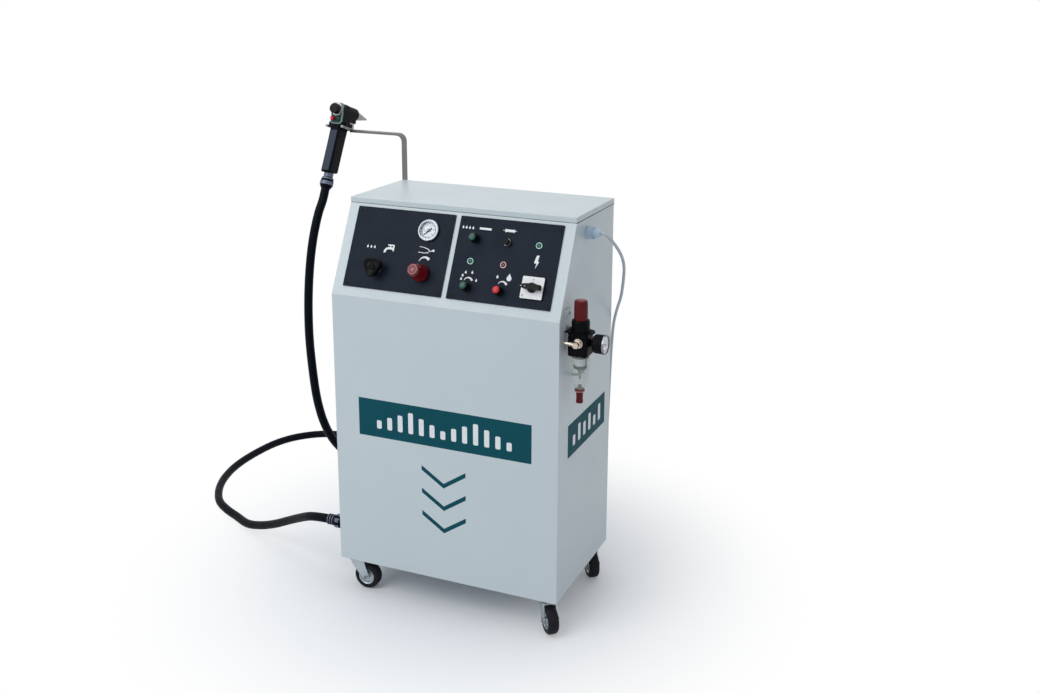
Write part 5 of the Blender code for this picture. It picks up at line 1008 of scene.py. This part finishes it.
def make_hose_details():
    place = ROOM @ move(-SIDE, FRONT + HOSE_FITTING_FROM_FRONT, HOSE_FITTING_Z) @ turn("Y", -90)
    inner, outer = HOSE_NUT
    nut = [(inner, 0.0125), (outer, 0.013), (outer, 0.023), (inner, 0.0235), (inner, 0.0125)]
    piece("hose_nut", turned(nut, 6, place), "nut_blue")
    bands = bmesh.new()
    sleeve = HOSE_DIAMETER / 2 + 0.0015
    for low in (0.031, 0.037, 0.043):
        ring(sleeve - 0.0004, sleeve + 0.0007, low, low + 0.0022, 36, place, shape=bands)
    piece("hose_fitting_bands", bands, "nut_blue")


def make_holder_details():
    inner = BAR_X + BAR_THICK / 2 + GAP
    bolts = bmesh.new()
    for z in (BODY_TOP - BAR_FOOT_BELOW_TOP + 0.014, BODY_TOP - 0.04):
        rear = ROOM @ move(inner + BRACKET_FOOT * 0.62, REAR + GAP + BRACKET_SHEET, z) @ turn("X", -90)
        hex_head(bolts, rear @ turn("Z", z * 900), 0.01, 0.0042)
        side = ROOM @ move(BAR_X - BAR_THICK / 2, BAR_Y, z) @ turn("Y", -90)
        hex_head(bolts, side @ turn("Z", z * 700), 0.01, 0.0042)
    piece("holder_bolts", bolts, "zinc")
    tip = mm((0, 0.6), (2, 0.5), (3, -0.2), (3.2, -3), (ROD_RADIUS * 1000, -3.2), (0, -3.2))
    tips = bmesh.new()
    for x in (-PRONG_OFFSET, PRONG_OFFSET):
        turned(tip, 20, GUN @ move(x, PRONG_TIP, PRONG_LINE) @ turn("X", 90), tips)
    piece("fork_tips", tips, "chrome")


# Gun

def circle_outline(centre, radius):
    return arc(centre, radius, 0, 360, 29)[:-1]


def make_gun_details():
    rear = GUN @ move(0, BARREL_REAR - HEAD_PROUD, 0) @ turn("X", 90)
    x, low, high = HEAD_HALF_WIDTH, HEAD_LOW, HEAD_HIGH
    proud, rim = 0.0006, 0.0016
    outer = box_outline((-x - proud, low - proud), (x + proud, high + proud), 0.0066, 6)
    inner = box_outline((-x + rim, low + rim), (x - rim, high - rim), 0.0045, 6)
    piece("gun_rear_rim", punched("rim", [outer, inner], -0.003, 0.0011, rear), "rim_green",
          30, "gun")
    rim = rim - 0.0001
    within = box_outline((-x + rim, low + rim), (x - rim, high - rim), 0.0045, 6)
    holes = [circle_outline((0, 0), GUN_KNOB_NECK)]
    holes += [circle_outline((at, BUTTON_ROW), radius + GAP) for at, radius in (GREEN_BUTTON, RED_BUTTON)]
    plate = punched("plate", [within] + holes, 5e-5, 0.0004, rear)
    piece("gun_rear_plate", plate, "rear_teal", 30, "gun")
    rings = ring(GUN_KNOB_NECK + 0.0002, 0.015, 0.0005, 0.0024, 44, rear, 0.0006)
    ring(GUN_KNOB_NECK + 0.0002, 0.0134, 0.003, 0.0052, 44, rear, 0.0006, rings)
    piece("gun_knob_rings", rings, "silver", body="gun")

    # Blue-grey strip on the grip's rear face: painted light where the key light falls.
    top, bottom = GRIP_TOP, NECK_START
    upper, lower = top * GRIP_SLOPE - GRIP_DEPTH, bottom * GRIP_SLOPE - GRIP_DEPTH + 0.0008
    outline = [(upper + 0.001, top), (upper - 0.0006, top - 0.001), (lower - 0.0006, bottom + 0.001),
               (lower + 0.001, bottom)]
    sideways = Matrix(((0, 0, 1, 0), (1, 0, 0, 0), (0, 1, 0, 0), (0, 0, 0, 1)))
    strip = prism(outline, -0.0086, 0.0086, GUN @ sideways)
    piece("gun_grip_lit_face", strip, "grip_painted_light", 30, "gun")
    # The sleeve round the neck is a painted highlight in the nut's blue; the two further bands are the nut's
    # metal.
    nut = ring(0.01, 0.011, 0.006, 0.0155, 36, GRIP_END, 0.0004)
    ring(NUT_RADIUS - 0.002, NUT_RADIUS - 0.0008, 0.0176, 0.0212, 36, GRIP_END, 0.0004, nut)
    ring(NUT_RADIUS - 0.0006, NUT_RADIUS + 0.0006, 0.0262, 0.0345, 36, GRIP_END, 0.0006, nut)
    piece("gun_hose_nut", nut, "nut_blue", body="gun")


# Bands on the cabinet, with plain bars in place of words

def make_band(name, place, left, right, low, high, inset, bar_low, bar_high, pattern):
    """A film with a row of upright bars; each number in the pattern is a bar's height in fifths."""
    film = prism(box_outline((left, low), (right, high)), FILM_LIFT, FILM, place)
    piece(name, film, "teal_film", 0)
    marks = bmesh.new()
    pitch = (right - left - 2 * inset) / len(pattern)
    width = pitch * 0.46
    for i, fifths in enumerate(pattern):
        x = left + inset + pitch * (i + 0.5)
        top = bar_low + (bar_high - bar_low) / 5 * fifths
        bar = box_outline((x - width / 2, bar_low), (x + width / 2, top), width * 0.25)
        prism(bar, FILM + PRINT_LIFT, FILM + PRINT_LIFT + FILM, place, marks)
    return marks


def make_bands():
    low, high = BAND_ROWS
    marks = make_band("front_band", FRONT_WALL, -BAND_HALF, BAND_HALF, low, high, BAND_HALF - 0.165,
                      low + 0.02, high - 0.018, [2, 3, 4, 5, 4, 3, 2, 3, 4, 5, 4, 3, 2])
    piece("front_band_bars", marks, "white_print", 0)
    chevrons = bmesh.new()
    half, drop, thick = 0.052, 0.034, 0.010625
    for y in (0.335, 0.283, 0.231):
        outline = [(-half, y), (0, y - drop), (half, y), (half, y - thick), (0, y - drop - thick),
                   (-half, y - thick)]
        prism(outline, FILM_LIFT, FILM, FRONT_WALL, chevrons)
    piece("front_chevrons", chevrons, "teal_film", 0)
    low, high = SIDE_BAND_ROWS
    marks = make_band("side_band", RIGHT_WALL, *SIDE_BAND, low, high, 0.02, low + 0.018, high - 0.016,
                      [3, 5, 4, 5, 3, 5])
    piece("side_band_bars", marks, "white_print", 0)


# Castors

def make_wheel(corner, x, y):
    half = WHEEL_WIDTH / 2
    wheel = "wheel_" + corner
    swivel = ROOM @ move(x, y, CASTOR_HEIGHT) @ turn("Z", CASTOR_TURNS[corner])
    axle = swivel @ move(CASTOR_TRAIL, 0, WHEEL_RADIUS - CASTOR_HEIGHT) @ turn("X", 90)
    other_side = axle @ turn("X", 180)
    tread = around((RIM_RADIUS, half), (0, -1.2), (1.2, -0.4))
    tread += around((WHEEL_RADIUS, half), (-6, -0.2), (-3, -1.2), (-1, -3.2), (-0.1, -5.8))
    back = [(r, -z) for r, z in reversed(tread)]
    tyre = turned(tread + [(WHEEL_RADIUS, 0)] + back + tread[:1], 64, axle)
    made = piece("tyre_" + corner, tyre, "tyre", 40, wheel)
    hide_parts("castor_wheel_" + corner)
    bore = AXLE_RADIUS + GAP
    front = around((0, half), (6.4, -1.2), (7, -2.2), (7.2, -5.2), (15, -5.8), (16.6, -2.4))
    front = [(bore, half - 0.0012)] + front + [(RIM_RADIUS - GAP, half - 0.0012)]
    back = [(r, -z) for r, z in reversed(front)]
    rim = turned(front + back + front[:1], 48, axle)
    piece("rim_" + corner, rim, "zinc", 30, wheel)
    disc = around((bore, half), (0, -0.8), (1.5, -0.8), (1.9, -1.3), (0, -1.3), (0, -0.8))
    hub = turned(disc, 32, other_side)
    turned(disc, 32, axle, hub)
    piece("hub_" + corner, hub, "hub_grey", 30, wheel)
    bolt = bmesh.new()
    for side in (axle, other_side):
        hex_head(bolt, side @ move(z=half + AXLE_HEAD), 0.0085, 0.002)
    piece("axle_bolt_" + corner, bolt, "hub_grey", 30, "castor_" + corner)


def make_wheels():
    x, y = SIDE - CASTOR_INSET_X, REAR - CASTOR_INSET_Y
    for corner in CASTOR_TURNS:
        make_wheel(corner, -x if "left" in corner else x, -y if "front" in corner else y)


# Stage

def seen_directly(tree):
    """1 for camera, glossy and transmission rays, and 0 for the others."""
    path = new_node(tree, "LightPath")
    total = path.outputs["Is Camera Ray"]
    for name in ("Is Glossy Ray", "Is Transmission Ray"):
        sources = {0: total, 1: path.outputs[name]}
        total = new_node(tree, "Math", {}, sources, operation="MAXIMUM").outputs[0]
    return total


def make_world():
    """Soft light all round, in front of a white that only the camera and reflections see."""
    world = bpy.data.worlds.new("studio")
    bpy.context.scene.world = world
    world.use_nodes = True
    tree = world.node_tree
    tree.nodes.clear()
    light = new_node(tree, "Background", {"Color": WORLD_COLOUR, "Strength": WORLD_STRENGTH})
    white = new_node(tree, "Background", {"Color": WHITE, "Strength": 1})
    sources = {"Fac": seen_directly(tree), 1: light.outputs[0], 2: white.outputs[0]}
    mix = new_node(tree, "MixShader", {}, sources)
    new_node(tree, "OutputWorld", {}, {"Surface": mix.outputs[0]})


def make_floor():
    """A pale floor that fades to plain white away from the machine."""
    mesh = bpy.data.meshes.new("floor")
    corners = [(x, y, 0) for x, y in middle_box(FLOOR_HALF, FLOOR_HALF)]
    mesh.from_pydata(corners, [], [(0, 1, 2, 3)])
    floor = new_object("floor", mesh)
    floor.location = (0, 0, -0.0002)
    material = bpy.data.materials.new("floor")
    material.use_nodes = True
    tree = material.node_tree
    shader = tree.nodes["Principled BSDF"]
    set_sockets(shader, {"Base Color": FLOOR_COLOUR, "Roughness": 0.5, "Specular IOR Level": 0.25})
    glow = new_node(tree, "Emission", {"Color": WHITE})
    place = new_node(tree, "TexCoord")
    distance = new_node(tree, "VectorMath", {}, {0: place.outputs["Object"]}, operation="LENGTH")
    limits = {"From Min": FLOOR_FADE[0], "From Max": FLOOR_FADE[1], "To Min": 0, "To Max": 1}
    fade = new_node(tree, "MapRange", limits, {"Value": distance.outputs["Value"]},
                    interpolation_type="SMOOTHSTEP")
    sources = {0: fade.outputs["Result"], 1: seen_directly(tree)}
    seen = new_node(tree, "Math", {}, sources, operation="MULTIPLY")
    mix = new_node(tree, "MixShader", {}, {"Fac": seen.outputs[0], 1: shader.outputs[0], 2: glow.outputs[0]})
    tree.links.new(mix.outputs[0], tree.nodes["Material Output"].inputs["Surface"])
    mesh.materials.append(material)


def make_lights():
    for name, at, size, power in LIGHTS:
        data = bpy.data.lights.new(name, "AREA")
        data.shape = "DISK"
        data.size = size
        data.energy = power
        lamp = new_object(name, data)
        lamp.location = here(*at)
        lamp.rotation_mode = "QUATERNION"
        lamp.rotation_quaternion = (here(*LIGHTS_AIM) - here(*at)).to_track_quat("-Z", "Y")
    bpy.context.scene.view_settings.view_transform = "Standard"


make_camera()
make_cords()
dress_nodes()
make_panel_signs()
make_panel_screws()
make_cabinet_screws()
make_lid_seal()
make_gauges()
make_lamps()
make_knob_caps()
make_main_switch()
make_knob_details()
make_filter_details()
make_filter_inside()
make_bracket()
make_gland_details()
make_hose_details()
make_holder_details()
make_gun_details()
make_bands()
make_wheels()
make_world()
make_floor()
make_lights()
